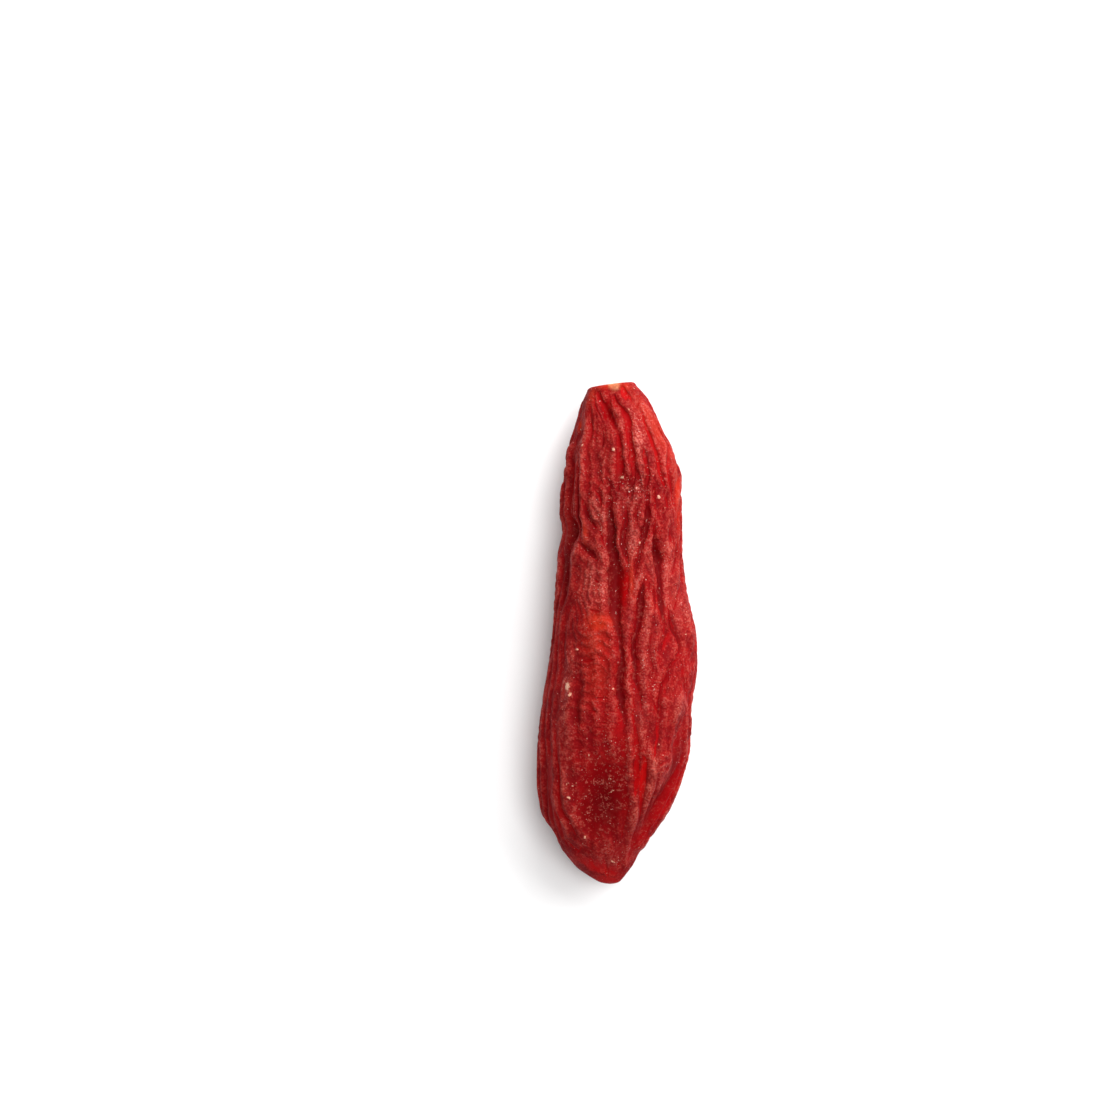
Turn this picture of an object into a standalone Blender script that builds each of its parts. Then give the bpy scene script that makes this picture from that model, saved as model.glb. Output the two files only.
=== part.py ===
"""A dried goji berry, lying on its back on a level surface.

The berry is one closed body. Its long axis lies along Y, with the stem end at +Y and the tip at -Y.
The face with the long centre groove points up, and a small pressed flat under the weight rests on Z = 0.
Lengths in this file are in millimetres until the mesh is made.
"""

import math

import bmesh
import bpy
import numpy as np

MM = 0.001

# Rings of points along the berry, and points in each ring
RINGS = 62
COLUMNS = 92

# Outline seen from above: place along the length, left edge, right edge
OUTLINE = (
    (-10.14, -0.36, -0.16),
    (-10.07, -0.66, 0.08),
    (-9.90, -0.98, 0.26),
    (-9.40, -1.66, 0.62),
    (-8.80, -2.13, 0.90),
    (-8.60, -2.26, 1.14),
    (-8.00, -2.64, 1.54),
    (-7.00, -3.04, 2.14),
    (-6.00, -3.18, 2.56),
    (-4.50, -3.14, 2.92),
    (-3.00, -2.98, 2.98),
    (-1.00, -2.66, 3.18),
    (0.00, -2.56, 3.12),
    (1.50, -2.46, 2.80),
    (3.00, -2.36, 2.60),
    (3.70, -2.22, 2.58),
    (4.15, -2.16, 2.58),
    (4.80, -2.28, 2.58),
    (6.20, -2.16, 2.54),
    (7.20, -2.00, 2.24),
    (8.20, -1.68, 1.80),
    (9.20, -1.44, 1.24),
    (9.80, -1.22, 0.76),
)

# Outline seen from the side: place along the length, underside, upper side, above the surface
SIDE = (
    (-10.13, 1.68, 1.72),
    (-10.07, 1.52, 1.90),
    (-9.90, 1.34, 2.12),
    (-9.40, 1.00, 2.62),
    (-8.80, 0.72, 3.18),
    (-8.00, 0.42, 3.82),
    (-7.00, 0.16, 4.40),
    (-6.00, -0.02, 4.78),
    (-4.50, -0.12, 5.06),
    (-3.00, -0.14, 5.12),
    (-1.00, -0.12, 5.02),
    (0.00, -0.10, 4.94),
    (1.50, -0.04, 4.78),
    (3.00, 0.08, 4.66),
    (4.50, 0.20, 4.60),
    (6.20, 0.42, 4.50),
    (7.20, 0.60, 4.36),
    (8.20, 0.88, 4.06),
    (9.20, 1.22, 3.72),
    (9.80, 1.44, 3.44),
)

# The stem end is cut across, a little askew, with a round rim and a shallow dish
CAP_RISE = 0.14
CAP_RIM = 0.22
CAP_DISH = 0.12
CAP_SLANT = 0.13
CAP_SLANT_REACH = 1.4

# How square the section is (1 is an ellipse, less is squarer)
SQUARENESS = 0.92

# Broad swellings and hollows of the upper side: height, (x, y), half width, half length, turn in degrees
BROAD_FORMS = (
    (-0.60, (-0.75, -6.40), 1.10, 1.90, 8.0),
    (-0.50, (1.95, -6.60), 0.65, 1.80, -17.0),
    (-0.20, (-2.90, -5.60), 0.50, 2.20, 0.0),
    (-0.34, (-1.98, 6.20), 0.42, 2.40, 4.0),
    (-0.24, (-2.15, 2.60), 0.36, 1.50, 8.0),
    (-0.36, (-1.86, 4.10), 0.36, 0.46, 0.0),
    (0.16, (-1.00, -0.80), 0.65, 2.20, 0.0),
    (-0.16, (-0.40, 8.80), 0.26, 0.60, -14.0),
    (-0.14, (-0.85, 7.10), 0.50, 1.10, 0.0),
    (0.14, (0.85, 7.60), 0.45, 1.20, 0.0),
    (0.20, (2.30, -2.90), 0.50, 0.62, 0.0),
    (-0.20, (2.02, -0.20), 0.34, 1.00, -24.0),
    (0.18, (2.70, 0.60), 0.45, 1.30, 0.0),
    (-0.20, (1.65, 3.15), 0.28, 0.70, 0.0),
    (-0.20, (0.16, 1.80), 0.34, 1.10, 0.0),
    (-0.22, (2.45, -4.40), 0.42, 0.80, 0.0),
    (0.12, (-0.50, -8.80), 0.60, 0.50, 0.0),
)

# Creases of the upper side: depth for a half width of 1, then points (x, y, half width) towards the tip
CREASES = (
    (1.5, ((-0.33, 5.45, 0.05), (-0.31, 4.80, 0.12), (-0.26, 4.10, 0.15), (-0.24, 3.30, 0.19),
           (-0.20, 2.60, 0.22), (-0.16, 2.00, 0.25), (-0.14, 1.50, 0.24), (-0.16, 0.90, 0.20),
           (-0.10, 0.30, 0.13), (0.03, -0.30, 0.08), (0.11, -0.75, 0.09), (0.07, -1.20, 0.10),
           (0.08, -1.80, 0.12), (0.12, -2.50, 0.12), (0.16, -3.10, 0.09), (0.20, -3.70, 0.04))),
    (1.5, ((-0.12, 9.45, 0.04), (-0.03, 9.10, 0.07), (0.22, 8.86, 0.08), (0.38, 8.45, 0.10),
           (0.42, 8.00, 0.10), (0.47, 7.55, 0.11), (0.54, 7.15, 0.12), (0.51, 6.75, 0.09),
           (0.58, 6.20, 0.08), (0.54, 5.80, 0.07), (0.47, 5.20, 0.04))),
    (1.5, ((0.98, 8.80, 0.04), (1.08, 8.40, 0.08), (1.20, 8.05, 0.10), (1.36, 7.60, 0.12),
           (1.55, 7.10, 0.13), (1.66, 6.60, 0.13), (1.77, 6.15, 0.11), (1.88, 5.70, 0.05))),
    (1.5, ((1.66, 8.15, 0.04), (1.86, 7.78, 0.09), (2.02, 7.40, 0.09), (2.05, 6.80, 0.09),
           (2.04, 6.25, 0.09), (2.15, 5.75, 0.08), (2.14, 5.30, 0.03))),
    (1.4, ((0.00, 7.90, 0.04), (0.05, 7.30, 0.09), (0.10, 6.80, 0.10), (0.11, 6.35, 0.09),
           (-0.02, 5.95, 0.08), (-0.10, 5.60, 0.04))),
    (1.4, ((0.98, 7.30, 0.04), (1.02, 6.90, 0.09), (1.10, 6.55, 0.10), (1.16, 6.00, 0.10),
           (1.05, 5.60, 0.06), (1.10, 5.30, 0.03))),
    (1.5, ((1.22, 5.40, 0.05), (1.20, 4.90, 0.12), (1.14, 4.40, 0.14), (1.06, 3.95, 0.17),
           (0.98, 3.60, 0.12), (0.84, 3.20, 0.08), (0.74, 2.85, 0.08), (0.65, 2.55, 0.07),
           (0.62, 2.10, 0.03))),
    (1.5, ((1.00, 2.10, 0.04), (0.95, 1.65, 0.13), (0.90, 1.15, 0.16), (0.80, 0.60, 0.14),
           (0.68, 0.05, 0.11), (0.60, -0.50, 0.11), (0.58, -1.05, 0.10), (0.64, -1.50, 0.08),
           (0.78, -2.05, 0.06), (0.88, -2.55, 0.05), (0.94, -3.20, 0.03))),
    (1.4, ((0.37, 5.00, 0.03), (0.32, 4.60, 0.08), (0.20, 4.15, 0.09), (0.16, 3.70, 0.10),
           (0.17, 3.30, 0.10), (0.28, 2.95, 0.07), (0.34, 2.70, 0.03))),
    (1.2, ((1.46, 4.50, 0.04), (1.46, 4.00, 0.09), (1.56, 3.50, 0.14), (1.66, 3.00, 0.24),
           (1.62, 2.50, 0.17), (1.70, 2.00, 0.14), (1.68, 1.50, 0.13), (1.72, 1.00, 0.12),
           (1.76, 0.50, 0.08), (1.80, 0.10, 0.04))),
    (1.2, ((1.92, 1.00, 0.04), (2.08, 0.55, 0.08), (2.26, 0.15, 0.09), (2.40, -0.25, 0.09),
           (2.42, -0.60, 0.08), (2.32, -0.92, 0.04))),
    (1.3, ((2.08, 4.30, 0.03), (2.10, 3.95, 0.07), (2.12, 3.65, 0.04))),
    (1.3, ((2.32, 3.50, 0.03), (2.35, 3.10, 0.08), (2.24, 2.70, 0.07), (2.14, 2.35, 0.04))),
    (1.0, ((2.56, 2.90, 0.04), (2.52, 2.20, 0.09), (2.30, 1.40, 0.04))),
    (1.3, ((2.00, -1.42, 0.05), (1.78, -1.85, 0.07), (1.66, -2.30, 0.08), (1.64, -2.75, 0.09),
           (1.60, -3.25, 0.09), (1.55, -3.65, 0.08), (1.50, -4.10, 0.06), (1.45, -4.70, 0.05),
           (1.42, -5.10, 0.03))),
    (1.3, ((2.42, -0.98, 0.03), (2.16, -1.20, 0.07), (1.98, -1.58, 0.08), (1.88, -2.00, 0.06),
           (1.82, -2.40, 0.03))),
    (1.3, ((2.60, -1.75, 0.03), (2.66, -2.15, 0.07), (2.78, -2.50, 0.03))),
    (1.4, ((-1.38, 5.30, 0.04), (-1.30, 4.88, 0.08), (-1.18, 4.58, 0.09), (-0.98, 4.33, 0.08),
           (-0.80, 4.18, 0.04))),
    (1.4, ((-1.62, 3.57, 0.04), (-1.40, 3.46, 0.10), (-1.20, 3.30, 0.12), (-1.00, 3.10, 0.11),
           (-0.84, 2.90, 0.05))),
    (1.5, ((-1.38, 8.15, 0.04), (-1.56, 7.88, 0.10), (-1.69, 7.55, 0.12), (-1.76, 7.15, 0.11),
           (-1.82, 6.75, 0.09), (-1.84, 6.20, 0.04))),
    (1.4, ((-1.60, 6.80, 0.04), (-1.55, 6.20, 0.08), (-1.60, 5.70, 0.10), (-1.56, 5.20, 0.11),
           (-1.58, 4.60, 0.11), (-1.52, 4.10, 0.08), (-1.58, 3.80, 0.04))),
    (1.2, ((-1.90, 5.90, 0.04), (-1.92, 5.20, 0.10), (-1.90, 4.50, 0.04))),
    (1.2, ((-0.74, 9.62, 0.08), (-0.64, 9.20, 0.14), (-0.46, 8.80, 0.18), (-0.24, 8.50, 0.16),
           (-0.12, 8.20, 0.08))),
    (1.3, ((-1.08, 9.00, 0.04), (-1.10, 8.50, 0.07), (-1.06, 8.00, 0.06), (-1.16, 7.60, 0.03))),
    (1.2, ((0.26, 9.70, 0.08), (0.33, 9.45, 0.14), (0.36, 9.25, 0.06))),
    (1.2, ((-2.10, 0.05, 0.03), (-2.14, -0.50, 0.06), (-2.10, -1.05, 0.03))),
    (0.6, ((-1.58, -1.20, 0.05), (-1.50, -2.10, 0.12), (-1.66, -3.20, 0.20), (-1.70, -3.80, 0.08))),
    (1.4, ((-2.45, -4.50, 0.04), (-2.40, -5.20, 0.08), (-2.37, -5.90, 0.09), (-2.35, -6.60, 0.09),
           (-2.24, -7.10, 0.09), (-2.00, -7.50, 0.08), (-1.74, -7.95, 0.04))),
    (1.3, ((-2.56, -6.70, 0.03), (-2.46, -7.15, 0.06), (-2.30, -7.65, 0.07), (-2.18, -8.15, 0.06),
           (-1.95, -8.55, 0.03))),
    (1.3, ((0.60, -2.40, 0.03), (0.62, -2.85, 0.05), (0.58, -3.25, 0.05), (0.64, -3.60, 0.06),
           (0.72, -4.00, 0.08), (0.78, -4.60, 0.10), (0.78, -5.20, 0.11), (0.75, -5.80, 0.10),
           (0.68, -6.50, 0.04))),
    (1.4, ((1.04, -4.80, 0.04), (1.05, -5.20, 0.11), (1.00, -5.70, 0.14), (0.97, -6.20, 0.12),
           (1.00, -6.80, 0.07), (0.94, -7.30, 0.05), (0.86, -7.70, 0.04))),
    (1.3, ((1.58, -6.10, 0.04), (1.50, -6.50, 0.11), (1.42, -7.00, 0.08), (1.36, -7.40, 0.04))),
    (1.3, ((-2.04, -8.25, 0.04), (-1.78, -8.52, 0.08), (-1.52, -8.66, 0.04))),
)

# Raised folds of the upper side: height for a half width of 1, then points (x, y, half width)
FOLDS = (
    (0.9, ((-1.22, 9.20, 0.10), (-1.24, 8.20, 0.13), (-1.42, 7.40, 0.17), (-1.40, 6.20, 0.18),
           (-1.44, 5.20, 0.16), (-1.30, 4.30, 0.18), (-1.36, 3.70, 0.16), (-1.70, 3.10, 0.18),
           (-1.84, 2.20, 0.20), (-2.04, 1.30, 0.22), (-2.24, 0.50, 0.20), (-2.44, -0.60, 0.16))),
    (0.9, ((-0.22, 9.35, 0.05), (-0.14, 9.02, 0.08), (0.10, 8.74, 0.09), (0.24, 8.40, 0.09),
           (0.28, 8.00, 0.09), (0.26, 7.40, 0.10), (0.28, 6.80, 0.10), (0.30, 6.30, 0.07))),
    (0.9, ((-0.84, 9.20, 0.05), (-0.74, 8.88, 0.08), (-0.58, 8.52, 0.08), (-0.52, 8.20, 0.04))),
    (0.9, ((0.00, 4.50, 0.06), (-0.02, 3.90, 0.09), (0.02, 3.40, 0.09), (0.06, 2.95, 0.06))),
    (0.9, ((0.52, 2.90, 0.06), (0.55, 2.40, 0.09), (0.50, 1.90, 0.11), (0.44, 1.40, 0.13),
           (0.36, 0.80, 0.15), (0.30, 0.20, 0.16), (0.32, -0.60, 0.13), (0.34, -1.40, 0.11),
           (0.44, -2.20, 0.10), (0.52, -2.90, 0.08))),
    (0.8, ((1.30, 1.95, 0.05), (1.30, 1.50, 0.08), (1.25, 1.00, 0.09), (1.22, 0.40, 0.10),
           (1.00, -0.60, 0.14), (0.92, -1.40, 0.16), (1.02, -2.20, 0.15), (1.16, -3.10, 0.12))),
    (0.8, ((-1.88, -0.40, 0.18), (-1.86, -1.40, 0.20), (-1.92, -2.30, 0.20), (-2.06, -3.20, 0.22),
           (-2.06, -4.40, 0.20), (-2.16, -5.60, 0.20), (-2.12, -6.60, 0.22), (-1.84, -7.40, 0.24),
           (-1.46, -8.05, 0.20))),
    (0.9, ((-2.60, -6.20, 0.08), (-2.50, -6.80, 0.10), (-2.32, -7.30, 0.10), (-2.10, -7.75, 0.10),
           (-1.98, -8.10, 0.07))),
    (1.0, ((0.60, -6.40, 0.13), (0.68, -7.10, 0.18), (0.66, -7.70, 0.19), (0.52, -8.25, 0.17),
           (0.42, -8.80, 0.14), (0.40, -9.30, 0.09))),
    (0.8, ((1.36, -4.60, 0.16), (1.44, -5.30, 0.22), (1.40, -6.00, 0.18), (1.30, -6.70, 0.12),
           (1.26, -7.20, 0.10), (1.14, -7.60, 0.06))),
    (0.8, ((0.88, -4.60, 0.05), (0.90, -5.40, 0.08), (0.86, -6.10, 0.08), (0.78, -6.60, 0.06))),
    (0.8, ((0.50, -3.30, 0.08), (0.50, -4.00, 0.11), (0.54, -4.80, 0.11), (0.52, -5.60, 0.08))),
    (0.9, ((1.62, 7.90, 0.05), (1.82, 7.50, 0.08), (1.88, 6.90, 0.08), (1.90, 6.30, 0.06))),
)

# Creases of the flanks and the underside follow a rule: they run lengthwise, in lanes side by side
HIDDEN_SEED = 11
HIDDEN_FROM_DEG = 92.0
HIDDEN_TO_DEG = 268.0
HIDDEN_LANES = 12
HIDDEN_STEEPNESS = 1.25
HIDDEN_WIDTH = (0.09, 0.25)
HIDDEN_RUN = (2.5, 7.0)
HIDDEN_SWAY_DEG = 7.0
HIDDEN_GAP = 0.9
HIDDEN_ENDS = (-9.2, 9.3)

# Where the berry presses on the surface it is smooth, and it wrinkles again this far above it
PRESSED_HEIGHT = 0.06
WRINKLED_HEIGHT = 0.40

# Strokes are followed in short straight steps, and no crease is narrower than the mesh can show
STROKE_STEP = 0.22
NARROWEST = 0.13
STROKE_REACH = 2.4

SKIN_COLOUR = (0.42, 0.016, 0.014, 1.0)
SKIN_ROUGHNESS = 0.42


def smoothstep(low, high, value):
    t = np.clip((value - low) / (high - low), 0.0, 1.0)
    return t * t * (3.0 - 2.0 * t)


def profile(table, column, y):
    """One column of an outline at the places y, as a smooth curve that never overshoots its points."""
    points = np.array(table)
    at, value = points[:, 0], points[:, column]
    width = np.diff(at)
    slope = np.diff(value) / width
    tangent = np.zeros(len(at))
    same_way = slope[:-1] * slope[1:] > 0.0
    before, after = slope[:-1][same_way], slope[1:][same_way]
    tangent[1:-1][same_way] = 2.0 * before * after / (before + after)
    tangent[0], tangent[-1] = slope[0], slope[-1]
    y = np.clip(y, at[0], at[-1])
    k = np.clip(np.searchsorted(at, y, side="right") - 1, 0, len(width) - 1)
    t = (y - at[k]) / width[k]
    start = value[k] * (1.0 + 2.0 * t) * (1.0 - t) ** 2 + tangent[k] * width[k] * t * (1.0 - t) ** 2
    end = value[k + 1] * (3.0 - 2.0 * t) * t**2 - tangent[k + 1] * width[k] * t**2 * (1.0 - t)
    return start + end


class Section:
    """The berry without its wrinkles, cut across at the places y: the middle and the half sizes there."""

    def __init__(self, y):
        left, right = profile(OUTLINE, 1, y), profile(OUTLINE, 2, y)
        low, high = profile(SIDE, 1, y), profile(SIDE, 2, y)
        self.middle_x, self.half_x = (left + right) / 2.0, (right - left) / 2.0
        self.middle_z, self.half_z = (low + high) / 2.0, (high - low) / 2.0
        self.radius = (self.half_x + self.half_z) / 2.0

    def angle_of(self, x):
        """Angle round the section of a point of the upper side: 0 on top, and 90 degrees at the right edge."""
        across = np.clip((x - self.middle_x) / self.half_x, -0.97, 0.97)
        return np.sign(across) * np.arcsin(np.abs(across) ** (1.0 / SQUARENESS))


def ring_places():
    """Where the rings stand: place along the length and share of the section, evenly spaced over the skin."""
    tip, shoulder = OUTLINE[0][0], OUTLINE[-1][0]
    along = np.linspace(tip, shoulder, 900)
    turn = np.linspace(0.0, math.pi / 2.0, 60)[1:]
    rim_share = 1.0 - CAP_RIM * (1.0 - np.cos(turn))
    rim_y = shoulder + CAP_RISE * np.sin(turn)
    dish_share = np.linspace(rim_share[-1], 0.0, 60)[1:]
    dish_y = rim_y[-1] - CAP_DISH * smoothstep(rim_share[-1], 0.0, dish_share)
    y = np.concatenate([along, rim_y, dish_y])
    share = np.concatenate([np.ones(len(along)), rim_share, dish_share])
    run = np.concatenate([[0.0], np.cumsum(np.hypot(np.diff(y), np.diff(Section(y).radius * share)))])
    at = np.linspace(0.0, run[-1], RINGS)
    return np.interp(at, run, y), np.interp(at, run, share)


def smooth_path(points):
    """Points in short steps along a smooth curve through the given ones."""
    points = np.array(points)
    ends = np.vstack([2 * points[0] - points[1], points, 2 * points[-1] - points[-2]])
    pieces = []
    for a, b, c, d in zip(ends[:-3], ends[1:-2], ends[2:-1], ends[3:]):
        count = max(2, math.ceil(np.linalg.norm(c[:2] - b[:2]) / STROKE_STEP))
        t = np.linspace(0.0, 1.0, count, endpoint=False)[:, None]
        bend = (2 * a - 5 * b + 4 * c - d) * t**2 + (3 * b - a - 3 * c + d) * t**3
        pieces.append(b + ((c - a) * t + bend) / 2.0)
    return np.vstack(pieces + [points[-1:]])


def seen_strokes(strokes):
    """Strokes of the upper side: steepness, and the path as angle, place along the length and half width."""
    for steepness, points in strokes:
        x, y, half_width = smooth_path(points).T
        yield steepness, (Section(y).angle_of(x), y, half_width)


def hidden_strokes():
    """Lengthwise creases of the flanks and the underside, in the same form as the seen ones."""
    draw = np.random.default_rng(HIDDEN_SEED)
    for lane in np.linspace(HIDDEN_FROM_DEG, HIDDEN_TO_DEG, HIDDEN_LANES):
        start = HIDDEN_ENDS[1] - draw.uniform(0.0, 1.5)
        while start > HIDDEN_ENDS[0] + 1.0:
            end = max(start - draw.uniform(*HIDDEN_RUN), HIDDEN_ENDS[0])
            y = np.linspace(start, end, 6)
            sway = draw.uniform(-HIDDEN_SWAY_DEG, HIDDEN_SWAY_DEG, len(y))
            half_width = draw.uniform(*HIDDEN_WIDTH, len(y))
            half_width[[0, -1]] *= 0.25
            yield HIDDEN_STEEPNESS, smooth_path(np.column_stack([np.radians(lane + sway), y, half_width])).T
            start = end - HIDDEN_GAP * draw.uniform(-1.0, 1.0)


def turned(angle):
    """An angle brought between minus and plus half a turn."""
    return (angle + math.pi) % (2.0 * math.pi) - math.pi


def stroke(angle, y, radius, path):
    """Size of a stroke of steepness 1 at each skin point: its half width in the middle, and nothing far off."""
    path_angle, path_y, path_width = path
    size = np.zeros(angle.shape)
    reach = STROKE_REACH * max(path_width.max(), NARROWEST)
    near = np.flatnonzero((y > path_y.min() - reach) & (y < path_y.max() + reach))
    if not len(near):
        return size
    middle = path_angle.mean()
    u = (turned(angle[near, None] - middle) + middle - path_angle) * radius[near, None]
    v = y[near, None] - path_y
    run_u, run_v = u[:, :-1] - u[:, 1:], v[:, :-1] - v[:, 1:]
    t = (u[:, :-1] * run_u + v[:, :-1] * run_v) / (run_u**2 + run_v**2)
    t = np.clip(t, 0.0, 1.0)
    distance = np.hypot(u[:, :-1] - t * run_u, v[:, :-1] - t * run_v)
    half_width = path_width[:-1] + t * np.diff(path_width)
    size[near] = (half_width * np.exp(-((distance / np.maximum(half_width, NARROWEST)) ** 2))).max(axis=1)
    return size


def combined(angle, y, radius, strokes):
    """Height of all the strokes together: those that meet run into one another, and don't add up."""
    total = np.zeros(angle.shape)
    for steepness, path in strokes:
        total += (steepness * stroke(angle, y, radius, path)) ** 3
    return total ** (1.0 / 3.0)


def broad_relief(angle, y, radius):
    total = np.zeros(angle.shape)
    for height, (at_x, at_y), half_width, half_length, turn in BROAD_FORMS:
        at_angle = Section(at_y).angle_of(at_x)
        across, along = turned(angle - at_angle) * radius, y - at_y
        c, s = math.cos(math.radians(turn)), math.sin(math.radians(turn))
        u, v = across * c + along * s, along * c - across * s
        total += height * np.exp(-((u / half_width) ** 2) - (v / half_length) ** 2)
    return total


def relief(angle, y, radius):
    """Height of the skin over the smooth body at each point."""
    creases = list(seen_strokes(CREASES)) + list(hidden_strokes())
    folds = list(seen_strokes(FOLDS))
    height = broad_relief(angle, y, radius)
    height += combined(angle, y, radius, folds)
    height -= combined(angle, y, radius, creases)
    return height


def skin(angle, y, share):
    """Points of the skin at an angle round the section, a place along the length and a share of the section."""
    section = Section(y)
    sine, cosine = np.sin(angle), np.cos(angle)
    x = section.middle_x + section.half_x * share * np.sign(sine) * np.abs(sine) ** SQUARENESS
    z = section.middle_z + section.half_z * share * np.sign(cosine) * np.abs(cosine) ** SQUARENESS
    height = relief(angle, y, section.radius) * smoothstep(PRESSED_HEIGHT, WRINKLED_HEIGHT, z)
    height *= np.minimum(share, smoothstep(0.0, 0.9, section.half_x))
    out_x, out_z = sine / section.half_x, cosine / section.half_z
    length = np.hypot(out_x, out_z)
    x = x + height * out_x / length
    z = z + height * out_z / length
    stem_end = OUTLINE[-1][0] + CAP_RISE
    y = y + CAP_SLANT * x * smoothstep(CAP_SLANT_REACH, 0.0, stem_end - y)
    return np.column_stack([x, y, np.maximum(z, 0.0)])


def make_skin(mesh):
    """Rings of points from the tip to the stem end, joined into a closed skin whose faces point out."""
    ring_y, ring_share = ring_places()
    turn = 2.0 * math.pi / COLUMNS
    row, column = (g.ravel() for g in np.meshgrid(np.arange(1, RINGS - 1), np.arange(COLUMNS), indexing="ij"))
    points = skin(column * turn, ring_y[row], ring_share[row])
    tip, stem = skin(np.zeros(2), ring_y[[0, -1]], np.zeros(2))

    # A quad is split along the diagonal that lies closer to the true skin at its middle
    row, column = row[:-COLUMNS], column[:-COLUMNS]
    middle = skin((column + 0.5) * turn, (ring_y[row] + ring_y[row + 1]) / 2.0,
                  (ring_share[row] + ring_share[row + 1]) / 2.0)
    low = (row - 1) * COLUMNS
    corners = np.column_stack([low + column, low + (column + 1) % COLUMNS])
    corners = np.column_stack([corners, corners[:, ::-1] + COLUMNS])
    rising = np.linalg.norm((points[corners[:, 0]] + points[corners[:, 2]]) / 2.0 - middle, axis=1)
    falling = np.linalg.norm((points[corners[:, 1]] + points[corners[:, 3]]) / 2.0 - middle, axis=1)

    bm = bmesh.new()
    vertices = [bm.verts.new(p) for p in points * MM]
    tip, stem = bm.verts.new(tip * MM), bm.verts.new(stem * MM)
    for (a, b, c, d), split_rising in zip(corners, rising < falling):
        halves = ((a, b, c), (a, c, d)) if split_rising else ((a, b, d), (b, c, d))
        for half in halves:
            bm.faces.new([vertices[k] for k in half])
    last = len(points) - COLUMNS
    for c in range(COLUMNS):
        d = (c + 1) % COLUMNS
        bm.faces.new((tip, vertices[d], vertices[c]))
        bm.faces.new((vertices[last + c], vertices[last + d], stem))
    pressed = [face for face in bm.faces if all(vertex.co.z == 0.0 for vertex in face.verts)]
    bmesh.ops.dissolve_faces(bm, faces=pressed)
    bm.to_mesh(mesh)
    bm.free()


def skin_material():
    material = bpy.data.materials.new("dried_skin")
    material.use_nodes = True
    shader = material.node_tree.nodes["Principled BSDF"]
    shader.inputs["Base Color"].default_value = SKIN_COLOUR
    shader.inputs["Roughness"].default_value = SKIN_ROUGHNESS
    shader.inputs["Metallic"].default_value = 0.0
    return material


def make_berry():
    mesh = bpy.data.meshes.new("goji_berry")
    make_skin(mesh)
    mesh.shade_smooth()
    berry = bpy.data.objects.new("goji_berry", mesh)
    bpy.context.scene.collection.objects.link(berry)
    berry.data.materials.append(skin_material())


def main():
    for old in list(bpy.data.objects):
        bpy.data.objects.remove(old)
    make_berry()


main()
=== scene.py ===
"""The finished look of a dried goji berry that lies on its back on a pale surface.

The berry keeps the form of its CAD solid and adds the finer wrinkles, the stem scar and the dry skin.
Lengths in the berry's tables are in millimetres; the mesh and the scene are in metres.
"""

import math

import bpy
import numpy as np
from bpy.props import FloatProperty, FloatVectorProperty, IntProperty, PointerProperty
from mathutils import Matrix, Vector


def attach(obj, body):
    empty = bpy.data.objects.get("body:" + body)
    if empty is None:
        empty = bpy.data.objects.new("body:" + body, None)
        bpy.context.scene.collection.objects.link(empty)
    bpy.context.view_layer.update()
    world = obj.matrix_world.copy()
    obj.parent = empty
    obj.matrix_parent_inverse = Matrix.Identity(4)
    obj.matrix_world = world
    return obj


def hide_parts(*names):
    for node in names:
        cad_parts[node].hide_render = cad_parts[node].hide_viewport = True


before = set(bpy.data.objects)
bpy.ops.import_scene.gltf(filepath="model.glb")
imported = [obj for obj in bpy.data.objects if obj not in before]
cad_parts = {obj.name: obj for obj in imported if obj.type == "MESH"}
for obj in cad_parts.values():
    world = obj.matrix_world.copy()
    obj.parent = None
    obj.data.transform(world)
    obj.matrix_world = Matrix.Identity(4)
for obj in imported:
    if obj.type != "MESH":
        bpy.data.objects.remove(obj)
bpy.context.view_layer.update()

bl_info = {
    "name": "Dried goji berry",
    "version": (1, 0, 0),
    "blender": (4, 5, 0),
    "location": "View3D > Sidebar > Goji",
    "description": "Models a dried goji berry with wrinkled skin, and a plain stage for it",
    "category": "Object",
}

MM = 0.001

# The camera's sensor, in millimetres, and the nearest and farthest that it sees, in metres
SENSOR_WIDTH = 36.0
CAMERA_SEES = (0.001, 10.0)

# Outline seen from above: place along the length, left edge, right edge
OUTLINE = (
    (-10.14, -0.36, -0.16),
    (-10.07, -0.66, 0.08),
    (-9.90, -0.98, 0.26),
    (-9.40, -1.66, 0.62),
    (-8.80, -2.13, 0.90),
    (-8.60, -2.26, 1.14),
    (-8.00, -2.64, 1.54),
    (-7.00, -3.04, 2.14),
    (-6.00, -3.18, 2.56),
    (-4.50, -3.14, 2.92),
    (-3.00, -2.98, 2.98),
    (-1.00, -2.66, 3.18),
    (0.00, -2.56, 3.12),
    (1.50, -2.46, 2.80),
    (3.00, -2.36, 2.60),
    (3.70, -2.22, 2.58),
    (4.15, -2.16, 2.58),
    (4.80, -2.28, 2.58),
    (6.20, -2.16, 2.54),
    (7.20, -2.00, 2.24),
    (8.20, -1.68, 1.80),
    (9.20, -1.44, 1.24),
    (9.80, -1.22, 0.76),
)

# Outline seen from the side: place along the length, underside, upper side, above the surface
SIDE = (
    (-10.13, 1.68, 1.72),
    (-10.07, 1.52, 1.90),
    (-9.90, 1.34, 2.12),
    (-9.40, 1.00, 2.62),
    (-8.80, 0.72, 3.18),
    (-8.00, 0.42, 3.82),
    (-7.00, 0.16, 4.40),
    (-6.00, -0.02, 4.78),
    (-4.50, -0.12, 5.06),
    (-3.00, -0.14, 5.12),
    (-1.00, -0.12, 5.02),
    (0.00, -0.10, 4.94),
    (1.50, -0.04, 4.78),
    (3.00, 0.08, 4.66),
    (4.50, 0.20, 4.60),
    (6.20, 0.42, 4.50),
    (7.20, 0.60, 4.36),
    (8.20, 0.88, 4.06),
    (9.20, 1.22, 3.72),
    (9.80, 1.44, 3.44),
)

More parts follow.
